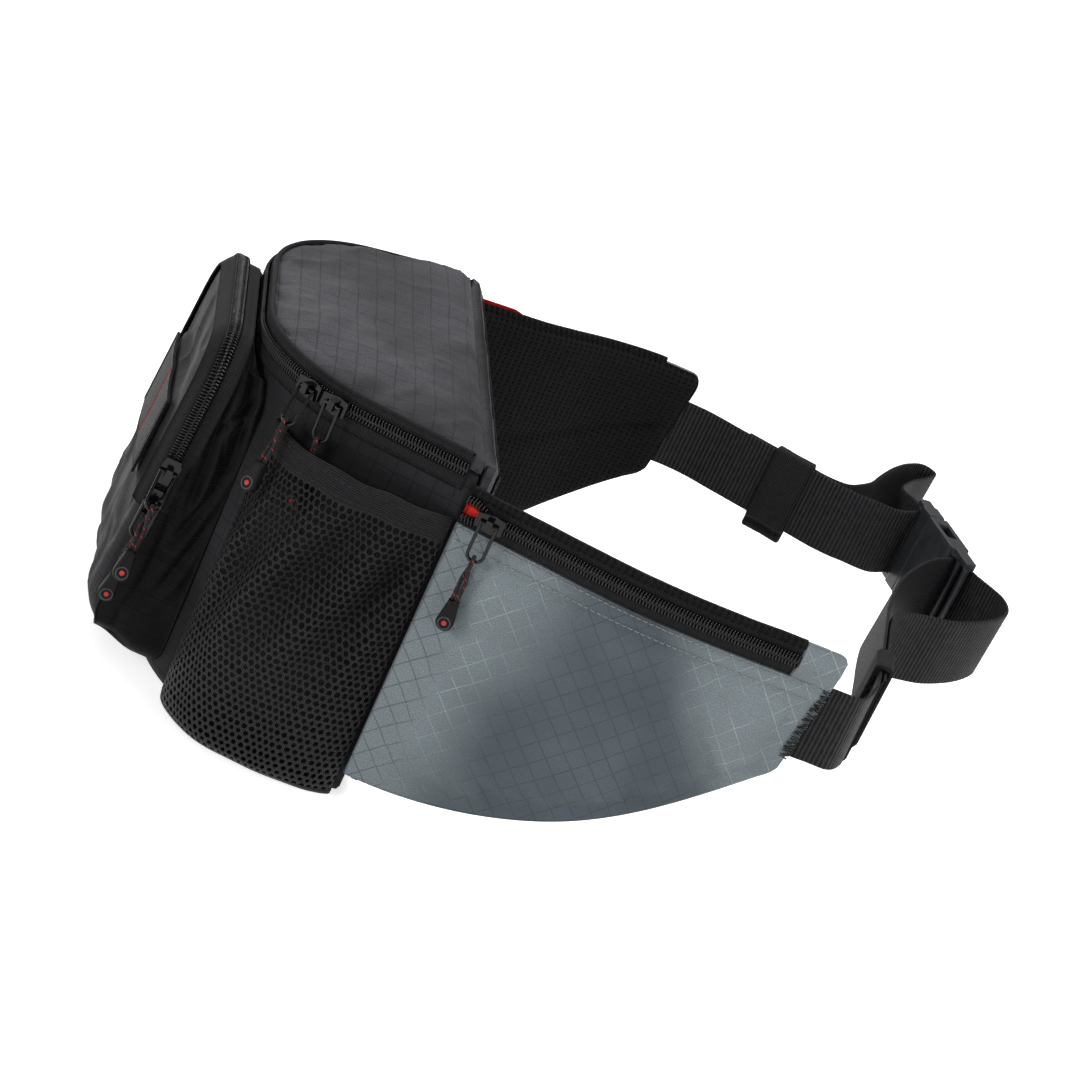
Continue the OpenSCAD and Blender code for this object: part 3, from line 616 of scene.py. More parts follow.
@dataclass(frozen=True)
class Ripstop:
    """Woven nylon with a square grid of thicker threads."""

    name: str
    dark: Colour
    light: Colour
    thread: Colour
    # Colour of the thread lines under the painted highlight.
    pale: Colour
    pitch: float = 8.6
    turn: float = 0.0
    line: float = 0.5
    contrast: float = 0.6
    rough: float = 0.62
    fold: float = 0.5
    gloss: float = 0.12
    speck: float = 0.45
    cloud: float = 0.3
    # Painted sheen: the place of the dark stretch between the pale zones, and the distances from it at which
    # the painted sheen begins and is full; all 0 for zones placed at random.
    wear_and_sheen: tuple[float, float, float] = (0.0, 0.0, 0.0)

    def build(self) -> bpy.types.Material:
        """Return the material."""
        t = Tree(self.name)
        uv = t.moved(t.cloth, turn=self.turn)
        parts = t.add("ShaderNodeSeparateXYZ", {0: uv})
        lines = []
        for axis in (0, 1):
            near = t.math("PINGPONG", t.math("DIVIDE", parts.outputs[axis], self.pitch * MM), 0.5)
            lines.append(t.ramp(near, self.line / self.pitch * 0.45, self.line / self.pitch * 1.3, 1.0, 0.0))
        grid = t.math("MAXIMUM", lines[0], lines[1])
        cloudy = t.noise(t.cloth, 22.0, 2.0)
        zone = self._zone(t)
        fuzz = t.noise(t.cloth, 1400.0, 2.0)
        twill = t.wave(t.moved(t.cloth, turn=45.0), 1250.0)
        # Paler in random clouds, and painted paler still in the sheen zone, as where light catches the cloth.
        pale = t.math("ADD", t.ramp(cloudy, 0.3, 0.7, 0.0, self.cloud), t.math("MULTIPLY", zone, 0.65))
        base = t.mix(pale, self.dark, self.light)
        along = t.add("ShaderNodeSeparateXYZ", {0: t.cloth}).outputs[0]
        # Painted highlight: in the sheen zone the thread lines turn to the pale colour.
        shine = t.math("MULTIPLY", zone, t.ramp(along, 0.012, 0.03))
        shine = t.math("MULTIPLY", shine, t.ramp(t.noise(t.cloth, 45.0, 2.0), 0.3, 0.6, 0.35, 1.0))
        thread = t.mix(shine, self.thread, self.pale)
        base = t.mix(t.math("MULTIPLY", grid, self.contrast), base, thread)
        base = t.mix(t.ramp(fuzz, 0.25, 0.75, 0.0, self.speck), base, tuple(c * 0.7 for c in self.dark))
        base = t.mix(t.math("MULTIPLY", twill, 0.25), base, tuple(c * 0.55 for c in self.dark))
        n = t.bump(t.noise(t.cloth, 60.0, 3.0), 1.2 * self.fold, 0.5)
        n = t.bump(grid, 0.2, 0.7, n)
        n = t.bump(t.math("ADD", t.math("MULTIPLY", twill, 0.5), t.math("MULTIPLY", fuzz, 0.5)), 0.12, 0.5, n)
        rough = t.ramp(fuzz, 0.2, 0.8, self.rough - 0.08, self.rough + 0.08)
        return t.done(base, rough, n, Sheen_Weight=0.04, Sheen_Roughness=0.5, Specular_IOR_Level=self.gloss)

    def _zone(self, t: Tree) -> Socket:
        """Return where the threads catch the light: 1 on the pale zones of the cloth and 0 between them."""
        middle, near, far = self.wear_and_sheen
        drift = t.math("MULTIPLY", t.math("SUBTRACT", t.noise(t.cloth, 14.0, 2.0), 0.5), 0.03)
        if not far:
            return t.ramp(t.noise(t.cloth, 9.0, 1.0), 0.42, 0.6)
        place = t.add("ShaderNodeSeparateXYZ", {0: t.cloth})
        along = t.math("ADD", place.outputs[0], t.math("MULTIPLY", place.outputs[1], 0.31))
        away = t.math("ABSOLUTE", t.math("SUBTRACT", t.math("ADD", along, drift), (middle + 28.0) * MM))
        away = t.math("ADD", away, t.math("MULTIPLY", t.math("SUBTRACT", place.outputs[1], 90.0 * MM), 0.5))
        return t.ramp(away, near * MM, far * MM)


@dataclass(frozen=True)
class Ribbed:
    """Narrow woven goods with ribs across their length: webbing, zip tape and elastic."""

    name: str
    dark: Colour
    light: Colour
    rib: float = 1.0
    along: float = 0.0
    depth: float = 0.25
    rough: float = 0.6
    sheen: float = 0.2
    grain: float = 300.0
    gloss: float = 0.1

    def build(self) -> bpy.types.Material:
        """Return the material."""
        t = Tree(self.name)
        warp = t.noise(t.cloth, self.grain, 2.0)
        across = t.wave(t.cloth, 1000.0 / self.rib, "X", 0.6)
        lengthwise = t.wave(t.cloth, 1000.0 / (self.along or 1.0), "Y", 0.4)
        height = across if not self.along else t.math("MAXIMUM", across, t.math("MULTIPLY", lengthwise, 0.5))
        fuzz = t.noise(t.cloth, 2200.0, 2.0)
        shade = t.math("ADD", t.math("MULTIPLY", height, 0.6), t.math("MULTIPLY", warp, 0.4))
        colour = t.mix(t.ramp(shade, 0.15, 0.95), self.dark, self.light)
        colour = t.mix(t.ramp(fuzz, 0.35, 0.75, 0.0, 0.3), colour, self.dark)
        n = t.bump(height, self.depth, 0.7)
        n = t.bump(fuzz, 0.08, 0.5, n)
        rough = t.ramp(fuzz, 0.2, 0.8, self.rough - 0.1, self.rough + 0.1)
        return t.done(colour, rough, n, Sheen_Weight=self.sheen, Sheen_Roughness=0.4,
                      Specular_IOR_Level=self.gloss)


@dataclass(frozen=True)
class Knit:
    """Spacer mesh with rows of small dimples."""

    name: str
    dark: Colour
    light: Colour
    pitch: float = 3.2

    def build(self) -> bpy.types.Material:
        """Return the material."""
        t = Tree(self.name)
        inputs = {"Vector": t.moved(t.cloth, (1.0, 1.35, 1.0)), "Scale": 1000.0 / self.pitch,
                  "Randomness": 0.12}
        dots = t.add("ShaderNodeTexVoronoi", inputs, voronoi_dimensions="2D", feature="F1")
        # Painted shade: the dimples are darker, as shade falls in them.
        hollow = t.ramp(dots.outputs["Distance"], 0.16, 0.42)
        strands = t.noise(t.moved(t.cloth, (1.0, 3.0, 1.0)), 900.0, 2.0)
        colour = t.mix(hollow, self.dark, self.light)
        colour = t.mix(t.ramp(strands, 0.3, 0.8, 0.0, 0.5), colour, self.dark)
        n = t.bump(hollow, 0.9, 0.8)
        n = t.bump(strands, 0.12, 0.6, n)
        return t.done(colour, t.ramp(strands, 0.2, 0.8, 0.7, 0.9), n, Sheen_Weight=0.02, Sheen_Roughness=0.6,
                      Specular_IOR_Level=0.08)


@dataclass(frozen=True)
class Moulded:
    """Moulded or cast surface: plastic, rubber, coil wire or metal."""

    name: str
    colour: Colour
    # Second colour, for random worn patches.
    wear_and_sheen: Colour
    rough: float = 0.4
    grain: float = 0.06
    gloss: float = 0.5

    def build(self) -> bpy.types.Material:
        """Return the material."""
        t = Tree(self.name)
        speck = t.noise(t.space, 2500.0, 3.0)
        smear = t.noise(t.space, 120.0, 4.0, 0.65)
        colour = t.mix(t.ramp(smear, 0.35, 0.75), self.colour, self.wear_and_sheen)
        rough = t.math("ADD", t.ramp(smear, 0.3, 0.7, self.rough - 0.07, self.rough + 0.07),
                       t.math("MULTIPLY", speck, 0.06))
        return t.done(colour, rough, t.bump(speck, self.grain, 0.5), Specular_IOR_Level=self.gloss)


@dataclass(frozen=True)
class Braid:
    """Round cord or sewing thread with a twist, and flecks of a second colour."""

    name: str
    colour: Colour
    fleck: Colour
    share: float = 0.0
    twist: float = 1.6

    def build(self) -> bpy.types.Material:
        """Return the material."""
        t = Tree(self.name)
        lay = t.wave(t.moved(t.cloth, turn=38.0), 1000.0 / self.twist, "X")
        other = t.wave(t.moved(t.cloth, turn=-38.0), 1000.0 / self.twist, "X")
        weave = t.math("MULTIPLY", lay, other)
        marks = t.ramp(t.math("MULTIPLY", other, t.wave(t.cloth, 1000.0 / (self.twist * 3.1), "X", 2.0)),
                       1.0 - self.share, 1.02 - self.share * 0.8)
        # Painted shade: darker in the grooves between the strands.
        colour = t.mix(weave, tuple(c * 0.55 for c in self.colour), self.colour)
        colour = t.mix(marks, colour, self.fleck)
        return t.done(colour, t.ramp(weave, 0.0, 1.0, 0.75, 0.55), t.bump(weave, 0.2, 0.7), Sheen_Weight=0.05,
                      Specular_IOR_Level=0.25)


class Cloth(Enum):
    """Every finish on the pack, with the record's material slot that it belongs to."""

    # The slate cloth carries painted sheen: paler cloth and thread lines towards both ends of the wing,
    # darker about its middle.
    SLATE = Ripstop("slate_ripstop", linear(68, 77, 83), linear(141, 151, 155), linear(54, 62, 68),
                    linear(188, 196, 194), 8.6, 45.0, 0.24, 0.62, gloss=0.25, cloud=0.14,
                    wear_and_sheen=(99.0, 34.0, 76.0))
    CHARCOAL = Ripstop("charcoal_ripstop", linear(44, 44, 48), linear(82, 82, 87), linear(22, 22, 25),
                       linear(30, 30, 34), 9.3, 0.0, 0.38, 0.5, fold=1.4, gloss=0.1, speck=0.75)
    BLACK = Ripstop("black_ripstop", linear(20, 20, 22), linear(44, 44, 47), linear(6, 6, 7),
                    linear(12, 12, 14), 9.3, 0.0, 0.36, 0.6, fold=0.9, gloss=0.12)
    # Painted shade: the black ripstop again, darker, for the gusset where shade falls.
    SHADED = Ripstop("gusset_shaded_ripstop", linear(3, 3, 4), linear(12, 12, 13), linear(2, 2, 3),
                     linear(4, 4, 5), 9.3, 0.0, 0.36, 0.5, fold=0.9, gloss=0.1)
    NET = Ribbed("hex_mesh", linear(2, 2, 2), linear(46, 46, 48), 1.0, 1.2, 0.5, 0.45, 0.0, 700.0, 0.14)
    SPACER = Knit("spacer_mesh", linear(3, 3, 4), linear(20, 20, 21))
    ELASTIC = Ribbed("elastic", linear(10, 10, 11), linear(44, 44, 46), 1.1, 0.0, 0.35, 0.7, 0.02)
    WEBBING = Ribbed("webbing", linear(3, 3, 4), linear(54, 54, 56), 2.2, 0.9, 0.8, 0.55, 0.0, gloss=0.08)
    TAPE = Ribbed("zip_tape", linear(8, 8, 9), linear(38, 38, 40), 1.05, 1.5, 0.2, 0.65, 0.02)
    LINING = Ribbed("red_lining", linear(176, 28, 24), linear(228, 58, 44), 0.5, 0.5, 0.08, 0.6, 0.02)
    COIL = Moulded("zip_coil", linear(5, 5, 6), linear(11, 11, 12), 0.16, 0.02, gloss=0.26)
    METAL = Moulded("gunmetal", linear(5, 5, 6), linear(11, 11, 13), 0.1, 0.02, gloss=0.25)
    PLASTIC = Moulded("buckle_plastic", linear(34, 36, 39), linear(46, 48, 51), 0.36, 0.05, gloss=0.35)
    RUBBER = Moulded("pull_rubber", linear(13, 13, 14), linear(20, 20, 22), 0.5, 0.05, gloss=0.12)
    RIM = Moulded("pull_rim", linear(34, 33, 33), linear(46, 44, 44), 0.5, 0.05)
    ACCENT = Moulded("red_rubber", linear(168, 24, 22), linear(196, 40, 34), 0.5, 0.05)
    CORD = Braid("pull_cord", linear(20, 20, 21), linear(170, 34, 28), 0.18, 1.5)
    THREAD = Braid("thread", linear(24, 24, 26), linear(34, 34, 36), 0.0, 0.8)
    PALE_THREAD = Braid("pale_thread", linear(168, 176, 176), linear(176, 184, 184), 0.0, 0.8)
    RED_THREAD = Braid("red_thread", linear(200, 40, 34), linear(210, 50, 40), 0.0, 0.8)

    @property
    def material(self) -> bpy.types.Material:
        """The finish's material, built when it is first asked for."""
        found = bpy.data.materials.get(f"{self.value.name}_finish")
        return found or self.value.build()

    @property
    def slot(self) -> str:
        """The record's material slot of the finish."""
        return SLOT.get(self.value.name, self.value.name)


SLOT = {"red_rubber": "pull_rubber", "pull_rim": "pull_rubber", "gusset_shaded_ripstop": "black_ripstop",
        "thread": "zip_tape", "pale_thread": "slate_ripstop", "red_thread": "red_lining"}


def dress(obj: Piece, finish: Cloth, body: str, *nodes: str) -> None:
    """Give a piece its finish, let it ride on a body and let it stand for CAD nodes.

    Args:
        obj: the piece.
        finish: its finish.
        body: body that it moves with, or nothing for a piece that blends between two.
        nodes: CAD nodes that it replaces.
    """
    obj.data.materials.clear()
    obj.data.materials.append(finish.material)
    if body:
        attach(obj, body)
    if nodes:
        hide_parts(*nodes)
    log.info("%s: %d faces in %s on %s", obj.name, len(obj.data.polygons), finish.value.name, body)


SKIN_VOXEL = 0.55


def redress(node: str, finish: Cloth, edge: float = 0.0, moulded: bool = False) -> None:
    """Give a CAD node a finish.

    Args:
        node: name of the node.
        finish: its finish.
        edge: width of its rounded edges, in millimetres.
        moulded: whether its whole skin is softened, as moulded plastic is.
    """
    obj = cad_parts[node]
    obj.data.materials.clear()
    obj.data.materials.append(finish.material)
    if moulded:
        skin = obj.modifiers.new("skin", "REMESH")
        skin.mode, skin.voxel_size, skin.use_smooth_shade = "VOXEL", SKIN_VOXEL * MM, True
        soft = obj.modifiers.new("soft", "SMOOTH")
        soft.factor, soft.iterations = 0.5, int(edge * 10)
        return
    if edge:
        bevel = obj.modifiers.new("edges", "BEVEL")
        bevel.width, bevel.segments = edge * MM, 3
        bevel.limit_method, bevel.angle_limit = "ANGLE", math.radians(35)
        obj.modifiers.new("shading", "WEIGHTED_NORMAL").keep_sharp = True


# ---- sizes that the pieces share


@dataclass(frozen=True)
class Plan:
    """Outline of the bag in plan, and the clearances between its layers."""

    front_y: float = -44.0
    back_y: float = 58.0
    flat_half: float = 29.0
    corner_r: float = 74.0
    flare: float = 18.4
    height: float = 172.0
    rim: float = 6.0
    dome: float = 6.5
    fit: float = 0.3
    tape: float = 1.0
    tape_w: float = 10.0
    coil_w: float = 3.2
    coil_h: float = 2.6

    @property
    def corner(self) -> Array:
        """Centre of the front corner's arc."""
        return np.array([self.flat_half, self.front_y + self.corner_r])

    def side(self, y: float, a: float) -> Array:
        """Return the point of the bag's side at y, on the outline moved outward by a."""
        f = math.radians(self.flare)
        start = self.corner + (self.corner_r + a) * np.array([math.cos(f), -math.sin(f)])
        d = np.array([math.sin(f), math.cos(f)])
        return start + d * (y - start[1]) / d[1]

    def half(self, a: float, back: float, steps: int = 32) -> Array:
        """Return the outline moved outward by a, from the middle of the front to the back corner."""
        turn = arc(self.corner, self.corner_r + a, -90, -self.flare, steps)
        front = np.linspace([0, turn[0][1]], turn[0], 9)[:-1]
        side = np.linspace(turn[-1], self.side(back, a), 15)[1:]
        return np.concatenate([front, turn, side])

    def outline(self, a: float, back: float) -> Array:
        """Return the closed outline, from the middle of the front along +X and round."""
        half = self.half(a, back)
        rear = np.linspace(half[-1], half[-1] * [-1, 1], 31)[1:-1]
        return np.concatenate([half, rear, (half * [-1, 1])[:0:-1]])

    def zip_line(self, a: float = 0.0) -> Array:
        """Return the open line of the lid's zip, from the near back round the front to the far back."""
        half = self.half(a, self.back_y - 5)
        return np.concatenate([half[::-1], (half * [-1, 1])[1:]])

    def lid_run(self) -> Run:
        """Return the run of the lid's zip."""
        path = Path.through(self.zip_line(), -1.0)
        n = len(path.points)
        return Run(np.c_[path.points, np.full(n, self.height)], UP, np.c_[path.normals, np.zeros(n)])

    def width(self, y: Array) -> Array:
        """Return the half width of the outline at distances y back from its origin."""
        y = np.asarray(y, float)
        r, c = self.corner_r, self.corner
        f = math.radians(self.flare)
        turn = c[0] + np.sqrt(np.maximum(r * r - (y - c[1]) ** 2, 0.0))
        edge = c + r * np.array([math.cos(f), -math.sin(f)])
        return np.where(y < edge[1], turn, edge[0] + (y - edge[1]) * math.tan(f))


PLAN = Plan()
NEAR, FAR = 0, 1
SIDES = ("near", "far")
HALVES = {1: "upper", -1: "lower"}


@dataclass
class Sided:
    """A piece that is made once for each side of the pack."""

    side: int = NEAR

    @property
    def word(self) -> str:
        """Return the side's name, as the CAD nodes have it."""
        return SIDES[self.side]

    @property
    def mirror(self) -> int:
        """Return 1 on the near side and -1 on the far one."""
        return 1 if self.side == NEAR else -1

    def once(self, *nodes: str) -> tuple[str, ...]:
        """Return CAD nodes that hold both sides in one, which the near side replaces for both."""
        return nodes if self.side == NEAR else ()


# ---- seams and zips


def stitches(name: str, run: Run, first: float, last: float, across: float, out: float, pitch: float = 3.1,
             length: float = 2.1, radius: float = 0.26) -> Piece:
    """Sew a row of stitches along a run.

    Args:
        name: name of the row.
        run: run that it follows.
        first: length at which it starts.
        last: length at which it ends.
        across: height above the run.
        out: how far the cloth's face stands out there.
        pitch: distance from stitch to stitch.
        length: length of the thread that shows.
        radius: radius of the thread.

    Returns:
        The row as one object.
    """
    parts = []
    lift = np.array([-0.35, 0.14, 0.26, 0.14, -0.35])
    for s in np.arange(first, last - length, pitch):
        line = run.at(s + np.linspace(0, length, 5), across, out + lift)
        parts.append(tube_parts(line, radius, 5, False))
    return merged(name, parts)


@dataclass
class Zip:
    """One zip along a run: two tapes and two coil halves, which part in front of the slider."""

    name: str
    run: Run
    first: float
    last: float
    upper_body: str
    lower_body: str
    upper: tuple[Sequence[float], Sequence[float]]
    lower: tuple[Sequence[float], Sequence[float]]
    nodes: dict[str, str] = field(default_factory=dict)
    base: float = 0.3
    thickness: float = 1.0
    pitch: float = 1.5
    wire: float = 0.5
    coil_w: float = 3.2
    coil_h: float = 2.6
    parted: Optional[Callable[[Array], Array]] = None

    def gap(self, s: Array) -> Array:
        """Return how far each half stands from the zip's middle at lengths s."""
        return self.parted(s) if self.parted else np.zeros_like(np.asarray(s, float))

    def coil(self, side: int) -> Piece:
        """Wind one half of the coil, on the upper side if side is 1 and on the lower if it is -1."""
        turns = (self.last - self.first) / self.pitch
        a = np.arange(0, turns * 2 * math.pi, 2 * math.pi / 11)
        phase = 0.0 if side > 0 else math.pi
        s = self.first + a / (2 * math.pi) * self.pitch
        c = np.cos(a + phase)
        heads, lock = self.coil_w * 0.62, -0.28 * self.coil_w
        across = side * (self.gap(s) + lock + heads - (heads - 0.1) * c * 1.05)
        out = self.base + self.thickness + self.coil_h / 2 + (self.coil_h / 2 - self.wire) * np.sin(a + phase)
        out = np.maximum(out, self.base + self.thickness + self.wire * 0.7)
        return tube(f"{self.name}_coil_{HALVES[side]}", self.run.at(s, across, out), self.wire, 7)

    def tape(self, side: int) -> Piece:
        """Cut one half of the tape."""
        across, out = self.upper if side > 0 else self.lower
        s = np.linspace(self.first, self.last, max(int((self.last - self.first) / 2.0), 2) + 1)
        noise = Noise(3 + side)
        fade = smooth(np.abs(np.asarray(across)), 0.0, 5.0)
        rows = np.asarray(across) + side * (self.gap(s)[:, None] * (1 - 0.75 * fade))
        wave = 0.16 * noise.at(s[:, None], np.asarray(across)[None, :] * 2, 13.0) * fade
        grid = self.run.at(s[:, None], rows, np.asarray(out)[None, :] + wave)
        sheet = facing(grid, self.run.at(s, 0, 1.0)[:, None] - self.run.at(s)[:, None])
        return sheet.solid(f"{self.name}_tape_{HALVES[side]}", self.thickness * 0.9)

    def build(self) -> None:
        """Make the tapes and the coils and dress them."""
        for side, body in ((1, self.upper_body), (-1, self.lower_body)):
            for make, kind, finish in ((self.coil, "coil", Cloth.COIL), (self.tape, "tape", Cloth.TAPE)):
                node = self.nodes.get(f"{kind}_{HALVES[side]}")
                dress(make(side), finish, body, *filter(None, [node]))


# ---- bag


def ring_solid(name: str, rings: Sequence[Array]) -> Piece:
    """Make a closed solid from rings of the same number of points, capped at both ends."""
    n = len(rings[0])
    faces = [f[::-1] for f in grid_faces(len(rings), n, False, True)]
    faces = [list(range(n))] + faces + [[(len(rings) - 1) * n + k for k in reversed(range(n))]]
    points = np.concatenate(rings)
    rise = lengths(np.array([ring[0] for ring in rings]))
    return mesh_object(name, points, faces, cloth_map(rise, lengths(rings[len(rings) // 2])).reshape(-1, 2))


@dataclass
class BagBody:
    """The padded open-topped shell that everything else is sewn to."""

    wall: float = 4.0
    floor: float = 6.0
    edge: float = 5.0

    def _ring(self, inset: float, z: float, folds: float = 0.0) -> Array:
        """Return the outline moved inward by an inset at a height, with soft folds of a depth."""
        p = PLAN.outline(-inset, PLAN.back_y - inset)
        if folds:
            n = len(p)
            around = np.arange(n) * 6.0
            depth = folds * (0.5 + 0.5 * Noise(11).layered(around, np.full(n, z), 42.0, 3))
            p = p + unit(np.array([0.0, 10.0]) - p) * depth[:, None] * (p[:, 1] < 57)[:, None]
        return np.c_[p, np.full(len(p), z)]

    def build(self) -> None:
        """Make the shell from its underside, up the outside, over the rim and down the inside."""
        top = PLAN.height - PLAN.fit
        rings = [self._ring(24, 0), self._ring(self.edge, 0)]
        rings += [self._ring(self.edge * (1 - math.sin(a)), self.edge * (1 - math.cos(a)))
                  for a in (0.5, 1.0, math.pi / 2)]
        rings += [self._ring(0, z, 1.1 * float(bell(z, 80, 75))) for z in np.linspace(12, top - 2, 30)]
        rim = ((0.6, 0.4), (self.wall / 2, 0), (self.wall - 0.6, 0.4))
        rings += [self._ring(inset, top - drop) for inset, drop in rim]
        rings += [self._ring(self.wall, z) for z in np.linspace(top - 2, self.floor + 3, 12)]
        rings += [self._ring(self.wall + 3, self.floor), self._ring(26, self.floor)]
        dress(ring_solid("bag_shell", rings), Cloth.BLACK, "bag", "main_shell")


@dataclass
class Lid:
    """The domed lid with its folds; the strip of tape over its rim comes with the lid's zip."""

    wall: float = 2.4
    rise: Sequence[Sequence[float]] = ((0, 0), (4, 0.4), (12, 0.7), (26, 0.9), (44, 1.0))
    rows: int = 70
    cols: int = 110

    def height(self, x: Array, y: Array) -> Array:
        """Return the height of the dome above the bag's rim plane at points of the plan."""
        d = np.stack([np.abs(x), y], -1) - PLAN.corner
        a = np.clip(np.arctan2(d[..., 1], d[..., 0]), -math.pi / 2, -math.radians(PLAN.flare))
        edge = PLAN.corner_r - (d[..., 0] * np.cos(a) + d[..., 1] * np.sin(a))
        rear = 2.0 * (PLAN.back_y - y)
        inset = np.maximum(-2.5 * np.log(np.exp(-edge / 2.5) + np.exp(-rear / 2.5)), 0.0)
        line = curve(self.rise, 12)
        return PLAN.dome * np.interp(inset, line[:, 0], line[:, 1])

    def sheet(self) -> Sheet:
        """Return the lid's cloth before it folds."""
        t = np.linspace(0, 1, self.rows)
        y = PLAN.front_y + (PLAN.back_y - PLAN.front_y) * t**1.5
        x = PLAN.width(y)[:, None] * np.linspace(-1, 1, self.cols)[None, :]
        y = np.broadcast_to(y[:, None], x.shape)
        z = PLAN.height + PLAN.rim + self.height(x, y)
        grid = np.pad(np.stack([x, y, z], -1), ((1, 1), (1, 1), (0, 0)), mode="edge")
        for edge in (grid[0], grid[-1], grid[:, 0], grid[:, -1]):
            edge[:, 2] = PLAN.height + PLAN.fit
        return facing(grid, UP, (grid[..., 0] + 200.0, grid[..., 1] + 200.0))

    def build(self) -> None:
        """Fold the lid and dress it."""
        flat = self.sheet()
        x, y = flat.grid[..., 0], flat.grid[..., 1]
        high, dome, noise = self.height(x, y), PLAN.dome, Noise(21)
        inner = smooth(high, 0.12 * dome, 0.75 * dome)
        edge = smooth(high, 0.0, 0.12 * dome) * (1.0 - smooth(high, 0.3 * dome, dome))
        waves = 1.9 * noise.layered(x, y * 1.3, 48.0, 3) + 1.1 * noise.creases(x + 0.4 * y, y, 34.0) ** 2
        nips = 1.1 * noise.creases(y - 0.5 * x, 0.2 * (x + y), 12.0) ** 2
        flat = flat.push(inner * waves - edge * nips)
        folded = settle(flat, 1.0 - 0.99 * inner, grow=0.045, swell=0.4, limit=3.0)
        dress(folded.solid("lid_cloth", self.wall, False), Cloth.CHARCOAL, "lid", "lid_panel")


@dataclass
class BackPanel:
    """The padded panel against the wearer and its air mesh."""

    low: float = 5.0
    high: float = 177.0
    front: float = 58.3
    back: float = 66.3
    mesh: float = 2.5
    inset: float = 4.0

    def _face(self, half: float, low: float, high: float, y: float, crown: float, edge: float) -> Array:
        """Return a grid of points on a crowned face of the panel."""
        x = np.linspace(-half, half, 90)
        z = np.linspace(low, high, 66)
        gx, gz = np.meshgrid(x, z)
        drop = np.clip(low + 13.0 - gz, 0, 13.0)
        gx = gx * (half - 13.0 + np.sqrt(169.0 - drop * drop)) / half
        inset = np.minimum(half - np.abs(gx), np.minimum(gz - low, high - gz))
        round_off = np.sqrt(np.clip(1 - (1 - np.clip(inset / edge, 0, 1)) ** 2, 0, 1))
        return np.stack([gx, y + crown * (round_off - 1), gz], -1)

    def build(self) -> None:
        """Make the pad and the mesh that faces the wearer."""
        half = float(PLAN.side(PLAN.back_y, 0)[0])
        noise = Noise(31)
        grid = self._face(half, self.low, self.high, self.back, 2.6, 7.0)
        sheet = facing(grid, -FRONT)
        quilt = noise.layered(sheet.grid[..., 0] * 2.2, sheet.grid[..., 2], 26.0, 3)
        sheet = sheet.push(-0.25 + 0.25 * quilt)
        pad = sheet.solid("back_pad", np.maximum(sheet.grid[..., 1] - self.front, 1.5) * 0.98)
        dress(pad, Cloth.CHARCOAL, "bag", "back_panel")
        grid = self._face(half - self.inset, self.low + self.inset, self.high - self.inset,
                          self.back + self.mesh, 2.0, 6.0)
        x, z = grid[..., 0], grid[..., 2]
        grid[..., 1] -= 1.4 * bell(np.abs(x), 34, 3.2) * smooth(z, 20, 34) * smooth(160 - z, 0, 14)
        mesh = facing(grid, -FRONT)
        face = mesh.solid("back_air_mesh", np.maximum(mesh.grid[..., 1] - self.back - 0.1, 0.3) * 0.97)
        dress(face, Cloth.SPACER, "bag", "back_mesh")


# ---- front pocket


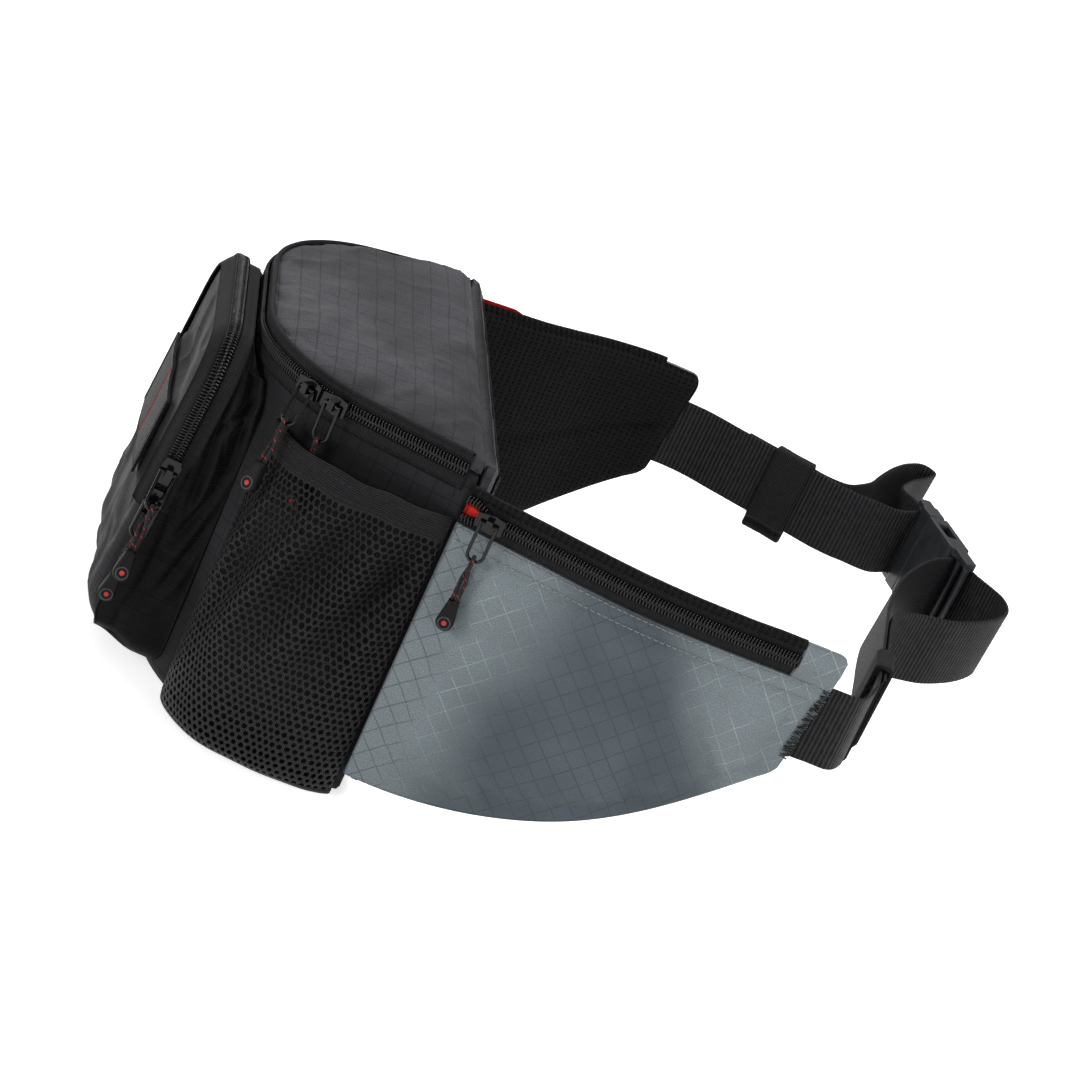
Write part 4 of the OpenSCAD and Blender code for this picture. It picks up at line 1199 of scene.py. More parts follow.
@dataclass
class FrontPocket:
    """The zipped pocket on the front, in a frame that leans back."""

    half: float = 66.0
    top: float = 168.0
    base: float = 7.0
    base_y: float = -72.0
    lean: float = 5.0
    corner_r: float = 26.0
    foot_r: float = 12.0
    wall: float = 2.5
    bulge: float = 10.0
    zip_end: float = 74.0
    belt_t: float = 1.5
    gear_w: float = 38.0
    gear_low: float = 78.0
    gear_pitch: float = 40.0
    gusset_folds: Sequence[Sequence[float]] = (
        (160, 14, 108, 24, 6.4, 4.2), (140, 8, 80, 16, 3.2, 3.2), (116, 25, 62, 17, 3.6, 3.6),
        (84, 28, 36, 21, 3.0, 3.4), (150, 23, 122, 11, 3.6, 3.0))

    @property
    def tall(self) -> float:
        """Height of the pocket along its leaning face."""
        return (self.top - self.base) / math.cos(math.radians(self.lean))

    def world(self, p: Array) -> Array:
        """Return points of the leaning frame in the frame of the part."""
        a = math.radians(self.lean)
        y, z = p[..., 1], p[..., 2]
        return np.stack([p[..., 0], self.base_y + y * math.cos(a) + z * math.sin(a),
                         self.base - y * math.sin(a) + z * math.cos(a)], -1)

    def turned(self, v: Array) -> Array:
        """Return directions of the leaning frame in the frame of the part."""
        return self.world(np.asarray(v, float)) - self.world(np.zeros(3))

    def arch(self, low: float, steps: int = 14) -> Path:
        """Return the line of the zip in the face's plane, from the far foot over the top to the near foot."""
        c = [self.half - self.corner_r, self.tall - self.corner_r]
        side = np.linspace([self.half, low], [self.half, c[1]], 12)[:-1]
        turn = arc(c, self.corner_r, 0, 90, steps)
        half = np.concatenate([side, turn])
        p = np.concatenate([half * [-1, 1], half[::-1][1:] if abs(turn[-1][0]) < 1e-6 else half[::-1]])
        return Path.through(p, -1.0)

    def run(self, low: float) -> Run:
        """Return the run of the zip in the frame of the part, with up towards the front."""
        path = self.arch(low)
        n = len(path.points)
        flat = np.stack([path.points[:, 0], np.zeros(n), path.points[:, 1]], -1)
        out = np.stack([path.normals[:, 0], np.zeros(n), path.normals[:, 1]], -1)
        return Run(self.world(flat), self.turned([0.0, -1.0, 0.0]), self.turned(out))

    def tucked(self, p: Array) -> Array:
        """Return points of the leaning frame with the foot's front edge rounded off."""
        low = 1.0 - smooth(p[..., 2], 0.0, 22.0)
        front = 1.0 - smooth(p[..., 1], 0.0, 26.0)
        under = 1.0 - smooth(p[..., 2], 0.0, 18.0)
        return p + np.stack([0 * low, 3.6 * low * front, 5.4 * under * front], -1)

    def width(self, z: Array) -> Array:
        """Return the half width of the face at heights along it."""
        z = np.asarray(z, float)
        ends = ((self.foot_r, self.foot_r - z), (self.corner_r, z - (self.tall - self.corner_r)))
        foot, head = (self.half - r + np.sqrt(np.maximum(r**2 - np.maximum(past, 0) ** 2, 0))
                      for r, past in ends)
        return np.minimum(foot, head)

    def inset(self, x: Array, z: Array) -> Array:
        """Return the distance of points from the face's outline."""
        out = np.minimum(np.minimum(self.half - np.abs(x), z), self.tall - z)
        for r, zc, up in ((self.foot_r, self.foot_r, -1), (self.corner_r, self.tall - self.corner_r, 1)):
            dx, dz = np.abs(x) - (self.half - r), (z - zc) * up
            corner = (dx > 0) & (dz > 0)
            out = np.where(corner, r - np.hypot(dx, dz), out)
        return np.maximum(out, 0.0)

    def face(self) -> Sheet:
        """Return the cloth of the bulged face."""
        t = np.linspace(0, 1, 90)
        z = self.tall * (t - 0.045 * np.sin(2 * math.pi * t))
        x = self.width(z)[:, None] * np.linspace(-1, 1, 76)[None, :]
        z = np.broadcast_to(z[:, None], x.shape)
        line = curve([[0, 0.3], [5, 0.65], [14, 0.9], [28, 1.0], [60, 1.0]], 12)
        deep = self.bulge * np.interp(self.inset(x, z), line[:, 0], line[:, 1])
        deep = np.maximum(deep - 6.5 * (1.0 - smooth(z, 0.0, 30.0)), 0.4 + 0.14 * self.inset(x, z))
        grid = np.pad(np.stack([x, -deep, z], -1), ((1, 1), (1, 1), (0, 0)), mode="edge")
        for edge in (grid[0], grid[-1], grid[:, 0], grid[:, -1]):
            edge[:, 1] = -PLAN.fit / 2
        return facing(grid, FRONT, (grid[..., 0] + 200.0, grid[..., 2] + 200.0))

    def build(self) -> None:
        """Make every piece of the pocket."""
        self.build_face()
        self.build_gusset()
        self.build_zip()
        self.build_webbing()

    def build_face(self) -> None:
        """Fold the face and dress it."""
        flat = self.face()
        x, z = flat.grid[..., 0], flat.grid[..., 2]
        loose = smooth(self.inset(x, z), 2.0, 16.0)
        band = smooth(z, self.gear_low - 6, self.gear_low) * smooth(self.gear_low + self.gear_w + 6 - z, 0, 6)
        free = loose * (1.0 - 0.9 * band * smooth(self.gear_pitch + 8 - np.abs(x), 0, 6))
        noise = Noise(41)
        flat = flat.push(-free * (2.4 - 2.2 * noise.layered(x * 0.7, z, 42.0, 3)
                                  - 2.0 * noise.creases(x + z, z - 0.6 * x, 48.0) ** 2))
        folded = settle(flat, 1.0 - 0.985 * free, grow=0.05, swell=0.3, limit=3.6)
        folded = Sheet(self.world(self.tucked(folded.grid)), False, folded.uvs)
        cloth = folded.solid("pocket_face", self.wall * 0.85, False)
        dress(cloth, Cloth.BLACK, "pocket_flap", "front_pocket_flap")

    def outline(self) -> Path:
        """Return the closed outline of the face, from the middle of its foot round by the near side."""
        foot = arc([self.half - self.foot_r, self.foot_r], self.foot_r, -90, 0, 10)
        head = arc([self.half - self.corner_r, self.tall - self.corner_r], self.corner_r, 0, 90, 16)
        base = np.linspace([0, 0], foot[0], 12)[:-1]
        side = np.linspace(foot[-1], head[0], 26)[1:-1]
        crown = np.linspace(head[-1], [0, self.tall], 10)[1:]
        half = np.concatenate([base, foot, side, head, crown])
        return Path.through(np.concatenate([half, (half * [-1, 1])[::-1][1:]]), 1.0)

    def build_gusset(self) -> None:
        """Make the band of cloth between the bag and the zip, with its folds."""
        path = self.outline()
        s = np.linspace(0, path.length, 320)
        p, n = path.at(s)
        flat = np.stack([p[:, 0], np.zeros(len(p)), p[:, 1]], -1)
        start = self.world(flat)
        bag = PLAN.front_y + np.maximum(PLAN.corner_r - np.sqrt(np.maximum(
            PLAN.corner_r**2 - np.maximum(np.abs(p[:, 0]) - PLAN.flat_half, 0) ** 2, 0)), 0)
        behind_zip = start[:, 2] > PLAN.height - PLAN.tape_w - 3
        gap = PLAN.fit + np.where(behind_zip, PLAN.tape + PLAN.coil_h + 1.5, 0.0)
        depth = (bag - gap * 1.15 - start[:, 1]) / math.cos(math.radians(self.lean))
        t = np.linspace(0, 1, 36)
        y = PLAN.fit / 2 + (depth[:, None] - PLAN.fit / 2) * t
        grid = np.stack([np.broadcast_to(p[:, :1], y.shape), y, np.broadcast_to(p[:, 1:], y.shape)], -1)
        out = np.stack([n[:, 0], np.zeros(len(n)), n[:, 1]], -1)[:, None]
        noise = Noise(51)
        hold = np.sin(math.pi * np.clip(t, 0, 1)) ** 0.7
        high = p[:, 1:]
        fold = 1.5 * noise.layered(high * 0.8, y * 1.6, 30.0, 3)
        fold = fold - 2.2 * noise.creases(high * 0.7 + y, y * 1.9, 40.0) ** 3
        for h0, y0, h1, y1, deep, wide in self.gusset_folds:
            share = (high - h0) / (h1 - h0)
            line = y0 + (y1 - y0) * share + 1.5 * np.sin(3.0 * share)
            fade = smooth(share, -0.12, 0.22) * (1.0 - smooth(share, 0.7, 1.15))
            fold += fade * deep * (0.75 * bell(y, line + wide * 1.3, wide * 0.9) - bell(y, line, wide * 0.6))
        seam = bell(p[:, 1], 56.0, 1.3) * (np.abs(p[:, 0]) > self.half - 4)
        fold = fold * (p[:, 1] > 4)[:, None] - 0.9 * seam[:, None]
        grid = grid + out * (0.9 * fold * hold)[..., None]
        sheet = facing(self.world(self.tucked(grid)), self.turned(out))
        # The gusset takes the darker copy of the black ripstop, as painted shade.
        dress(sheet.solid("pocket_gusset", self.wall * 0.9), Cloth.SHADED, "bag", "front_pocket_shell")

    def build_zip(self) -> None:
        """Sew in the zip: one half on the face, one on the gusset."""
        run = self.run(self.zip_end)
        face = ([0.15, 1.6, 3.0, 4.4, 6.2, 8.6], [1.3, 1.3, 1.3, 1.2, -0.9, -4.2])
        gusset = ([-0.15, -1.6, -3.2, -5.0, -7.0, -9.6], [1.3, 1.3, 1.3, 1.3, 1.3, 1.2])
        Zip("pocket_zip", run, 0.5, run.length - 0.5, "pocket_flap", "bag", face, gusset,
            {"tape_upper": "front_zip_tape_flap", "tape_lower": "front_zip_tape_shell",
             "coil_upper": "front_zip_coil_flap", "coil_lower": "front_zip_coil_shell"}).build()

    def build_webbing(self) -> None:
        """Lay the gear webbing across the face with a bartack at each of its ends and between."""
        x = np.linspace(-self.gear_pitch - 4, self.gear_pitch + 4, 60)
        z = np.linspace(self.gear_low, self.gear_low + self.gear_w, 16)
        gx, gz = np.meshgrid(x, z)
        slack = 0.7 * np.abs(np.sin(math.pi * (gx + self.gear_pitch) / self.gear_pitch)) ** 0.8
        y = -self.bulge - PLAN.fit - self.belt_t - slack
        grid = np.stack([gx, y, gz], -1)
        sheet = facing(grid.transpose(1, 0, 2), FRONT)
        sheet = Sheet(self.world(sheet.grid), False, sheet.uvs)
        dress(sheet.solid("gear_band", self.belt_t * 0.9), Cloth.WEBBING, "pocket_flap", "gear_webbing")
        for k, at in enumerate((-1, 0, 1)):
            high = np.linspace(self.gear_low + 1.5, self.gear_low + self.gear_w - 1.5, 30)
            zigzag = at * self.gear_pitch + 0.55 * (-1.0) ** np.arange(30)
            zig = np.stack([zigzag, np.full(30, -self.bulge - PLAN.fit - self.belt_t - 0.05), high], -1)
            tack = tube(f"gear_tack_{k}", self.world(zig), 0.36, 6)
            dress(tack, Cloth.THREAD if at else Cloth.RED_THREAD, "pocket_flap")


# ---- mesh side pockets


@dataclass
class MeshPocket(Sided):
    """One stretch mesh side pocket: a bulged net, its closed foot and the ribbed elastic round its rim."""

    first: float = -50.0
    rear: float = 3.5
    steps: int = 7
    low: float = 24.0
    rim: float = 11.0
    rim_drop: float = 23.0
    binding: float = 12.0
    middle: float = 80.0
    wall: float = 2.0
    pitch: float = 3.7
    hole: float = 1.36
    hem: Sequence[tuple[float, float]] = ((0.5, -40.0), (0.5, -16.0), (0.4, -9.0), (0.4, -4.0), (0.5, -0.6),
                                          (1.4, 0.35), (2.6, 0.6), (3.2, 0.4))
    band: Sequence[tuple[float, float]] = ((0, 0.1), (0.6, 0.7), (3, 0.85), (6, 0.7), (9, 0.85))
    fold: Sequence[tuple[float, float]] = ((0.9, 0.6), (0, -0.4), (0.2, -1.6), (2, -2.3), (6, -2.2))

    @property
    def rim_z(self) -> float:
        """Height of the rim."""
        return PLAN.height - self.rim_drop

    def base(self, t: Array, a: Array) -> Array:
        """Return points of the pocket's base line at steps t, moved outward by a, in plan."""
        f = t / self.steps
        turn = np.radians(self.first - (PLAN.flare + self.first) * np.minimum(f, 1.0))
        q = PLAN.corner + (PLAN.corner_r + a)[..., None] * np.stack([np.cos(turn), np.sin(turn)], -1)
        flare = math.radians(PLAN.flare)
        start = PLAN.corner + (PLAN.corner_r + a)[..., None] * np.array([math.cos(flare), -math.sin(flare)])
        d = np.array([math.sin(flare), math.cos(flare)])
        end = start + d * ((PLAN.back_y - self.rear - start[..., 1]) / d[1])[..., None]
        return q + (end - q) * np.maximum(f - 1, 0)[..., None]

    def bow(self, t: Array, bulge: Array) -> Array:
        """Return how far the net stands off the bag at steps t."""
        return bulge * np.maximum(np.sin(math.pi / 2 * t / self.steps), 0) ** 0.7

    def bulge(self, z: Array) -> Array:
        """Return the greatest bulge at heights z."""
        line = curve([[0, self.low * 0.62], [6, self.low * 0.9], [22, self.low],
                      [self.middle, self.low * 0.85], [self.rim_z - self.binding, self.rim],
                      [self.rim_z, self.rim]], 10)
        return np.interp(z, line[:, 0], line[:, 1])

    def surface(self, t: Array, z: Array, off: float = 0.0) -> Array:
        """Return points of the net's outer face at steps t and heights z, with the folds of slack net."""
        noise = Noise(61 + self.side)
        down = np.clip((self.rim_z - self.binding - z) / 90.0, 0, 1)
        across = t * 7.3
        slant = across + 0.35 * (self.rim_z - z)
        fold = 0.8 * np.sin(slant * 0.22 + 1.8 * noise.at(z, across, 50.0))
        fold = fold + 0.7 * noise.layered(slant * 1.4, z * 0.4, 26.0, 2)
        fold = fold - 1.1 * noise.creases(slant, z * 0.35, 30.0) ** 1.6
        fold = fold * 4.6 * np.sin(math.pi * np.clip(down * 0.9 + 0.08, 0, 1))
        fold = fold * smooth(np.sin(math.pi * t / (2 * self.steps)), 0.0, 0.5)
        a = PLAN.fit + self.wall + off + self.bow(t, self.bulge(z)) + fold
        p = self.base(t, a)
        x = p[..., 0] if self.side == NEAR else -p[..., 0]
        return np.stack([x, p[..., 1], z], -1)

    def net(self) -> Piece:
        """Knit the net as hexagonal cells with round holes, laid on the pocket's face."""
        tall = self.rim_z - self.binding + 1.0
        tt, zz = np.linspace(0, 2 * self.steps, 121), np.linspace(0.6, tall, 111)
        grid = self.surface(tt[:, None] + 0 * zz[None, :], zz[None, :] + 0 * tt[:, None])
        wide = lengths(grid[:, 55])
        size, row = self.pitch, self.pitch * math.sqrt(3) / 2
        cols, rows = int(wide[-1] / size), int((tall - 0.6) / row)
        size, row = wide[-1] / cols, (tall - 0.6) / rows
        points: list[tuple[float, float]] = []
        index: dict[tuple[int, int], int] = {}
        faces: list[list[int]] = []

        def vertex(u: float, v: float) -> int:
            """Return the number of the vertex at u, v, which cells share."""
            u, v = min(max(u, 0.0), wide[-1]), min(max(v, 0.0), tall - 0.6)
            key = (round(u * 50), round(v * 50))
            if key not in index:
                index[key] = len(points)
                points.append((u, v))
            return index[key]

        around = np.radians(np.arange(12) * 30.0 + 30.0)
        reach = np.where(np.arange(12) % 2 == 0, 1 / math.sqrt(3), 0.5)
        for j in range(rows + 1):
            for i in range(cols + 1):
                u, v = (i + 0.5 * (j % 2)) * size, j * row
                ring = [vertex(u + math.cos(a) * r * size, v + math.sin(a) * r * row * 2 / math.sqrt(3))
                        for a, r in zip(around, reach)]
                if len(set(ring)) < 12:
                    if len(set(ring)) > 2:
                        faces.append([k for n, k in enumerate(ring) if k not in ring[:n]])
                    continue
                hole = []
                open_r = self.hole * (0.86 + 0.22 * v / tall + 0.1 * math.sin(12.9898 * i + 78.233 * j))
                for a in around:
                    points.append((u + math.cos(a) * open_r, v + math.sin(a) * open_r * row / size * 1.18))
                    hole.append(len(points) - 1)
                faces += [[ring[k], ring[(k + 1) % 12], hole[(k + 1) % 12], hole[k]] for k in range(12)]
        uv = np.array(points)
        fi, fj = np.interp(uv[:, 0], wide, np.arange(121)), uv[:, 1] / (tall - 0.6) * 110
        i0, j0 = np.minimum(fi.astype(int), 119), np.minimum(fj.astype(int), 109)
        a, b = (fi - i0)[:, None], (fj - j0)[:, None]
        low, high = (grid[i0, j] * (1 - a) + grid[i0 + 1, j] * a for j in (j0, j0 + 1))
        p = low * (1 - b) + high * b
        if self.side == FAR:
            faces = [f[::-1] for f in faces]
        obj = mesh_object(f"mesh_pocket_net_{SIDES[self.side]}", p, faces, uv * MM)
        thick = obj.modifiers.new("thickness", "SOLIDIFY")
        thick.thickness, thick.offset = 0.75 * MM, 0.0
        apply_modifiers(obj)
        return obj

    def build(self) -> None:
        """Make the net, its foot and the elastic binding."""
        word = self.word
        dress(self.net(), Cloth.NET, "bag", f"mesh_pocket_{word}")
        t = np.linspace(0, 2 * self.steps, 90)
        rows = []
        for z, off in self.hem:
            inward = np.maximum(off, -self.bow(t, self.bulge(z)) - self.wall - 6.5) if off < 0 else off
            rows.append(self.surface(t, np.full(len(t), z), inward))
        sheet = facing(np.array(rows), self.outward(t, len(rows)))
        dress(sheet.solid(f"mesh_pocket_hem_{word}", 0.8), Cloth.TAPE, "bag")
        foot = self.rim_z - self.binding
        ripple = 0.25 * Noise(71).at(t * 7.3, t * 0, 9.0)
        rows = [(foot + high, off) for high, off in self.band]
        rows += [(self.rim_z - down, off) for down, off in self.fold] + [(foot + 0.4, -2.0)]
        rows = [self.surface(t, z + ripple, off) for z, off in rows]
        sheet = facing(np.array(rows), self.outward(t, len(rows)))
        elastic = sheet.solid(f"mesh_pocket_elastic_{word}", 0.7)
        dress(elastic, Cloth.ELASTIC, "bag", *self.once("mesh_bindings"))
        run = Run(self.surface(t, np.full(len(t), foot + 2.2), 0.8), UP, self.outward(t, 1)[0])
        for k, high in enumerate((0.0, 6.6)):
            name = f"mesh_pocket_seam_{word}_{k}"
            row = stitches(name, run, 3.0, run.length - 3.0, high, 0.05, 3.4, 2.3, 0.24)
            dress(row, Cloth.THREAD, "bag")

    def outward(self, t: Array, rows: int) -> Array:
        """Return the directions that the net faces at steps t, repeated in rows."""
        a = self.base(t, np.zeros(len(t)))
        b = self.base(t, np.full(len(t), 5.0))
        d = (b - a) / 5.0
        flat = np.c_[d[:, 0] * self.mirror, d[:, 1], np.zeros(len(t))]
        return np.broadcast_to(flat, (rows, len(t), 3))


# ---- hip wings


@dataclass
class Wing(Sided):
    """One padded hip wing: pad, lining, ripstop pocket with its zip, end patch and stitching."""

    start: Sequence[Sequence[float]] = ((118, 56), (119.5, 62), (124.6, 82), (129.7, 102))
    near: Sequence[Sequence[float]] = ((133, 115), (140, 146), (145, 180), (148, 236))
    far: Sequence[Sequence[float]] = ((137, 122), (145, 145), (149, 170), (147.5, 197))
    pad_t: float = 5.0
    lining_t: float = 0.6
    gap: float = 0.1
    skin_t: float = 1.6
    top_root: float = 167.0
    top_end: float = 161.0
    low: float = 14.0
    low_end: float = 101.0
    skin_y: float = 57.0
    pad_y: float = 66.6
    zip_w: float = 18.0
    tab_l: float = 20.0
    coil_drop: float = 10.0
    slider_y: float = 70.0
    puff: float = 2.0
    lean: float = 0.13
    pad_rim: float = 1.6
    pad_round: float = 9.0
    slot_deep: float = 2.3
    slot_half: float = 20.2
    mouth: float = 3.3

    def __post_init__(self) -> None:
        """Lay out the path and the heights along it."""
        points = curve(list(self.start) + list(self.near if self.side == NEAR else self.far), 18)
        self.path = Path.through(points, 1.0)
        self.sweep = (2.0, 1.3)[self.side]
        self.end_y = float(points[-1, 1]) - 0.01
        self.skin_in = 2 * self.gap + self.lining_t

    def s_of(self, y: float) -> float:
        """Return the length along the path at which it reaches y."""
        return self.path.find(1, y)

    def share(self, s: Array) -> Array:
        """Return how far along the wing a length is, from 0 at the bag to 1 at its end, by its y."""
        y = np.interp(s, self.path.run, self.path.points[:, 1])
        return np.clip((y - self.skin_y) / (self.end_y - self.skin_y), 0, 1)

    def top(self, s: Array) -> Array:
        """Return the height of the top edge at lengths s, rounded off at the wing's end."""
        last = np.clip((s - self.path.length + 5.0) / 5.0, 0, 1)
        round_off = 4.0 * (1.0 - np.sqrt(1.0 - last * last))
        lift = 3.2 * smooth(self.share(s), 0.35, 1.0)
        return self.top_root + (self.top_end - self.top_root) * self.share(s) + lift - round_off

    def bottom(self, s: Array) -> Array:
        """Return the height of the lower edge at lengths s, cut off at an angle at the wing's end."""
        cut = 2.4 * np.clip((s - self.path.length + 3.0) / 3.0, 0, 1) ** 2
        return self.low + (self.low_end - self.low) * self.share(s) ** self.sweep + cut

    def points(self, s: Array, off: Array, z: Array) -> Array:
        """Return points at lengths s, off the path outward, at heights z.

        The wing's end edge leans back to its foot.
        """
        s, off, z = np.broadcast_arrays(s, off, z)
        below = np.clip(self.top_end - 6.0 - z, 0, 60)
        s = s - self.lean * below * smooth(s, self.path.length - 95.0, self.path.length)
        p, n = self.path.at(s)
        q = p + n * off[..., None]
        return np.stack([q[..., 0] * self.mirror, q[..., 1], z], -1)

    def outward(self, s: Array) -> Array:
        """Return the outward directions at lengths s."""
        _, n = self.path.at(s)
        return np.stack([n[..., 0] * self.mirror, n[..., 1], np.zeros(np.shape(s))], -1)

    def run(self, drop: float, off: float, first: float, last: float) -> Run:
        """Return a run below the top edge at a distance off the path."""
        s = np.linspace(first, last, 120)
        return Run(self.points(s, off, self.top(s) - drop), UP, self.outward(s))

    def build(self) -> None:
        """Make every layer of the wing."""
        self.build_pad()
        self.build_lining()
        self.build_panel()
        self.build_zip()
        self.build_end()

    def span(self, s: Array, low: Array, high: Array, rows: int) -> tuple[Array, ...]:
        """Return the grid of a layer that reaches from one height to another at lengths s.

        Args:
            s: lengths along the wing.
            low: heights of the layer's lower edge.
            high: heights of its upper edge.
            rows: points from the lower edge to the upper one.

        Returns:
            The length, the height and the distances from the lower and the upper edge at each point.
        """
        t = np.linspace(0, 1, rows)
        tall = (high - low)[:, None]
        z = low[:, None] + tall * t[None, :]
        return np.broadcast_to(s[:, None], z.shape), z, t * tall, (1 - t) * tall

    def lay(self, across: Array, off: Array, z: Array, cut: tuple[Array, Array],
            way: int = 1) -> tuple[Sheet, bool]:
        """Return a layer as a sheet that faces outward, or inward, and whether its rows were turned round.

        Args:
            across: length along the wing at each point.
            off: distance off the path.
            z: height.
            cut: place of each point in the flat cloth, in millimetres.
            way: 1 to face outward and -1 to face the wearer.
        """
        grid = self.points(across, off, z)
        sheet = facing(grid, way * self.outward(across[:, 0])[:, None], cut)
        return sheet, bool(np.allclose(sheet.grid[0, 0], grid[0, -1]))

    def build_panel(self) -> None:
        """Fold the ripstop pocket and sew down its edges."""
        word = self.word
        s = np.linspace(self.s_of(self.skin_y), self.path.length - 0.2, 120)
        across, z, above, below = self.span(s, self.bottom(s), self.top(s) - self.zip_w, 84)
        edge = np.minimum(np.minimum(above, below), np.minimum(across - s[0], s[-1] - across))
        free = smooth(edge, 1.5, 14.0)
        noise = Noise(81 + self.side)
        high = np.linspace(0, 1, z.shape[1])[None, :]
        puff = self.puff * smooth(edge, 0, 34) * (0.75 + 0.25 * smooth(high, 0.0, 0.6))
        folds = 0.75 * noise.layered(across * 0.8 + z * 0.5, z - across * 0.5, 46.0, 3)
        folds = folds + 0.45 * noise.creases(across + z, z, 38.0)
        off = self.skin_in + self.skin_t + puff + folds * free * 0.8
        off = off + 0.7 * bell(below, 4.0, 3.0)
        sheet, turned = self.lay(across, off, z, (across - s[0], z))
        held = 1.0 - 0.985 * (free[:, ::-1] if turned else free)
        folded = settle(sheet, held, grow=0.03, swell=0.25, limit=2.6)
        pocket = folded.solid(f"wing_pocket_{word}", self.skin_t * 0.8)
        dress(pocket, Cloth.SLATE, "bag", f"wing_panel_{word}")
        for k, drop in enumerate((1.6, 7.4)):
            self.sew(f"wing_seam_{word}_{k}", folded, self.zip_w + drop)

    def sew(self, name: str, cloth: Sheet, drop: float) -> None:
        """Sew a row of stitches into folded cloth at a distance below the top edge."""
        grid, up = cloth.grid, cloth.normals
        s = np.linspace(self.s_of(self.skin_y), self.path.length - 0.2, grid.shape[0])
        target = self.top(s) - drop
        line, out = [], []
        for i in range(len(s)):
            z = grid[i, :, 2]
            order = np.argsort(z)
            line.append([np.interp(target[i], z[order], grid[i, order, k]) for k in range(3)])
            out.append([np.interp(target[i], z[order], up[i, order, k]) for k in range(3)])
        run = Run(np.array(line), UP, np.array(out))
        dress(stitches(name, run, 2.0, run.length - 3.0, 0.0, 0.3), Cloth.PALE_THREAD, "bag")

    def build_pad(self) -> None:
        """Make the padded inner panel with its slot for the belt."""
        word = self.word
        s = np.linspace(self.s_of(self.pad_y), self.path.length - 0.05, 110)
        across, z, above, below = self.span(s, self.bottom(s), self.top(s) - 2.0, 70)
        edge = np.minimum(np.minimum(above, below), np.minimum(across - s[0] + 3, s[-1] - across + 2))
        full = np.sqrt(np.clip(1 - (1 - np.clip(edge / self.pad_round, 0, 1)) ** 2, 0, 1))
        noise = Noise(91 + self.side)
        depth = self.pad_rim + (self.pad_t - self.pad_rim) * full
        depth = depth + 0.5 * noise.layered(across, z, 36.0, 2) * full
        high = np.linspace(0, 1, z.shape[1])[None, :] * np.ones_like(z)
        depth = depth - 1.5 * bell(high, 0.5, 0.035) * smooth(edge, 6, 16)
        beside = self.slot_half - np.abs(z - Belt.middle)
        slot = smooth(s[:, None], s[-1] - 20, s[-1] - 18) * smooth(beside, 0.0, 0.8)
        sheet, turned = self.lay(across, -depth, z, (across, z), -1)
        thick = np.maximum(depth - self.slot_deep * slot, 0.9)
        pad = sheet.solid(f"wing_padding_{word}", thick[:, ::-1] if turned else thick)
        dress(pad, Cloth.SPACER, "bag", f"wing_pad_{word}")

    def build_lining(self) -> None:
        """Make the red lining between pad and pocket."""
        word = self.word
        last = self.s_of(self.end_y - self.tab_l)
        s = np.linspace(self.s_of(self.skin_y) + 0.6, last, 64)
        crest = (0.0, 2.0)[self.side] * (1.0 - smooth(s - s[0], 30.0, 40.0))
        high = self.top(s) - PLAN.fit - 4.0 * smooth(s - s[0], 34.0, 54.0) + crest
        across, z, *_ = self.span(s, self.bottom(s) + 8.0, high, 30)
        bow = 0.9 * smooth(s[0] + 16.0 - across, 0, 6) * bell(z, self.top_root - self.coil_drop, 4.0)
        sheet, _ = self.lay(across, self.gap + self.lining_t + bow, z, (across, z))
        lining = sheet.solid(f"wing_lining_{word}", self.lining_t * 0.9)
        dress(lining, Cloth.LINING, "bag", *self.once("wing_linings"))

    def build_zip(self) -> None:
        """Sew the zip along the top edge; it stands open between the bag and the slider."""
        word = self.word
        first, last = self.s_of(self.skin_y), self.s_of(self.end_y - self.tab_l) - PLAN.fit
        run = self.run(self.coil_drop, self.skin_in - 0.3, first, last)
        slider = self.s_of(self.slider_y) - first
        upper = ([0.15, 1.5, 3.2, 5.0, 7.5, 10.0], [1.3, 1.3, 1.3, 1.25, 1.2, 1.1])
        lower = ([-0.15, -1.5, -3.2, -5.0, -6.5, -7.8], [1.3, 1.3, 1.3, 1.3, 1.2, 1.0])
        nodes = {"tape_upper": "wing_zip_tapes", "coil_upper": "wing_zip_coils"} if self.side == NEAR else {}
        Zip(f"wing_zip_{word}", run, 0.0, run.length, "bag", "bag", upper, lower, nodes,
            parted=lambda at: self.mouth * np.sqrt(smooth(slider - 2.0 - at, 0.0, 8.0))).build()
        edge = stitches(f"wing_top_seam_{word}", run, 2.0, run.length - 3.0, 5.2, 1.4)
        dress(edge, Cloth.THREAD, "bag")
        s = np.linspace(2.0, run.length + 0.5, 150)
        thick = 2.3 + 0.18 * Noise(95 + self.side).layered(s, s * 0, 22.0, 2)
        dress(tube(f"wing_top_roll_{word}", run.at(s, 7.9, 0.1), thick, 14), Cloth.SPACER, "bag")

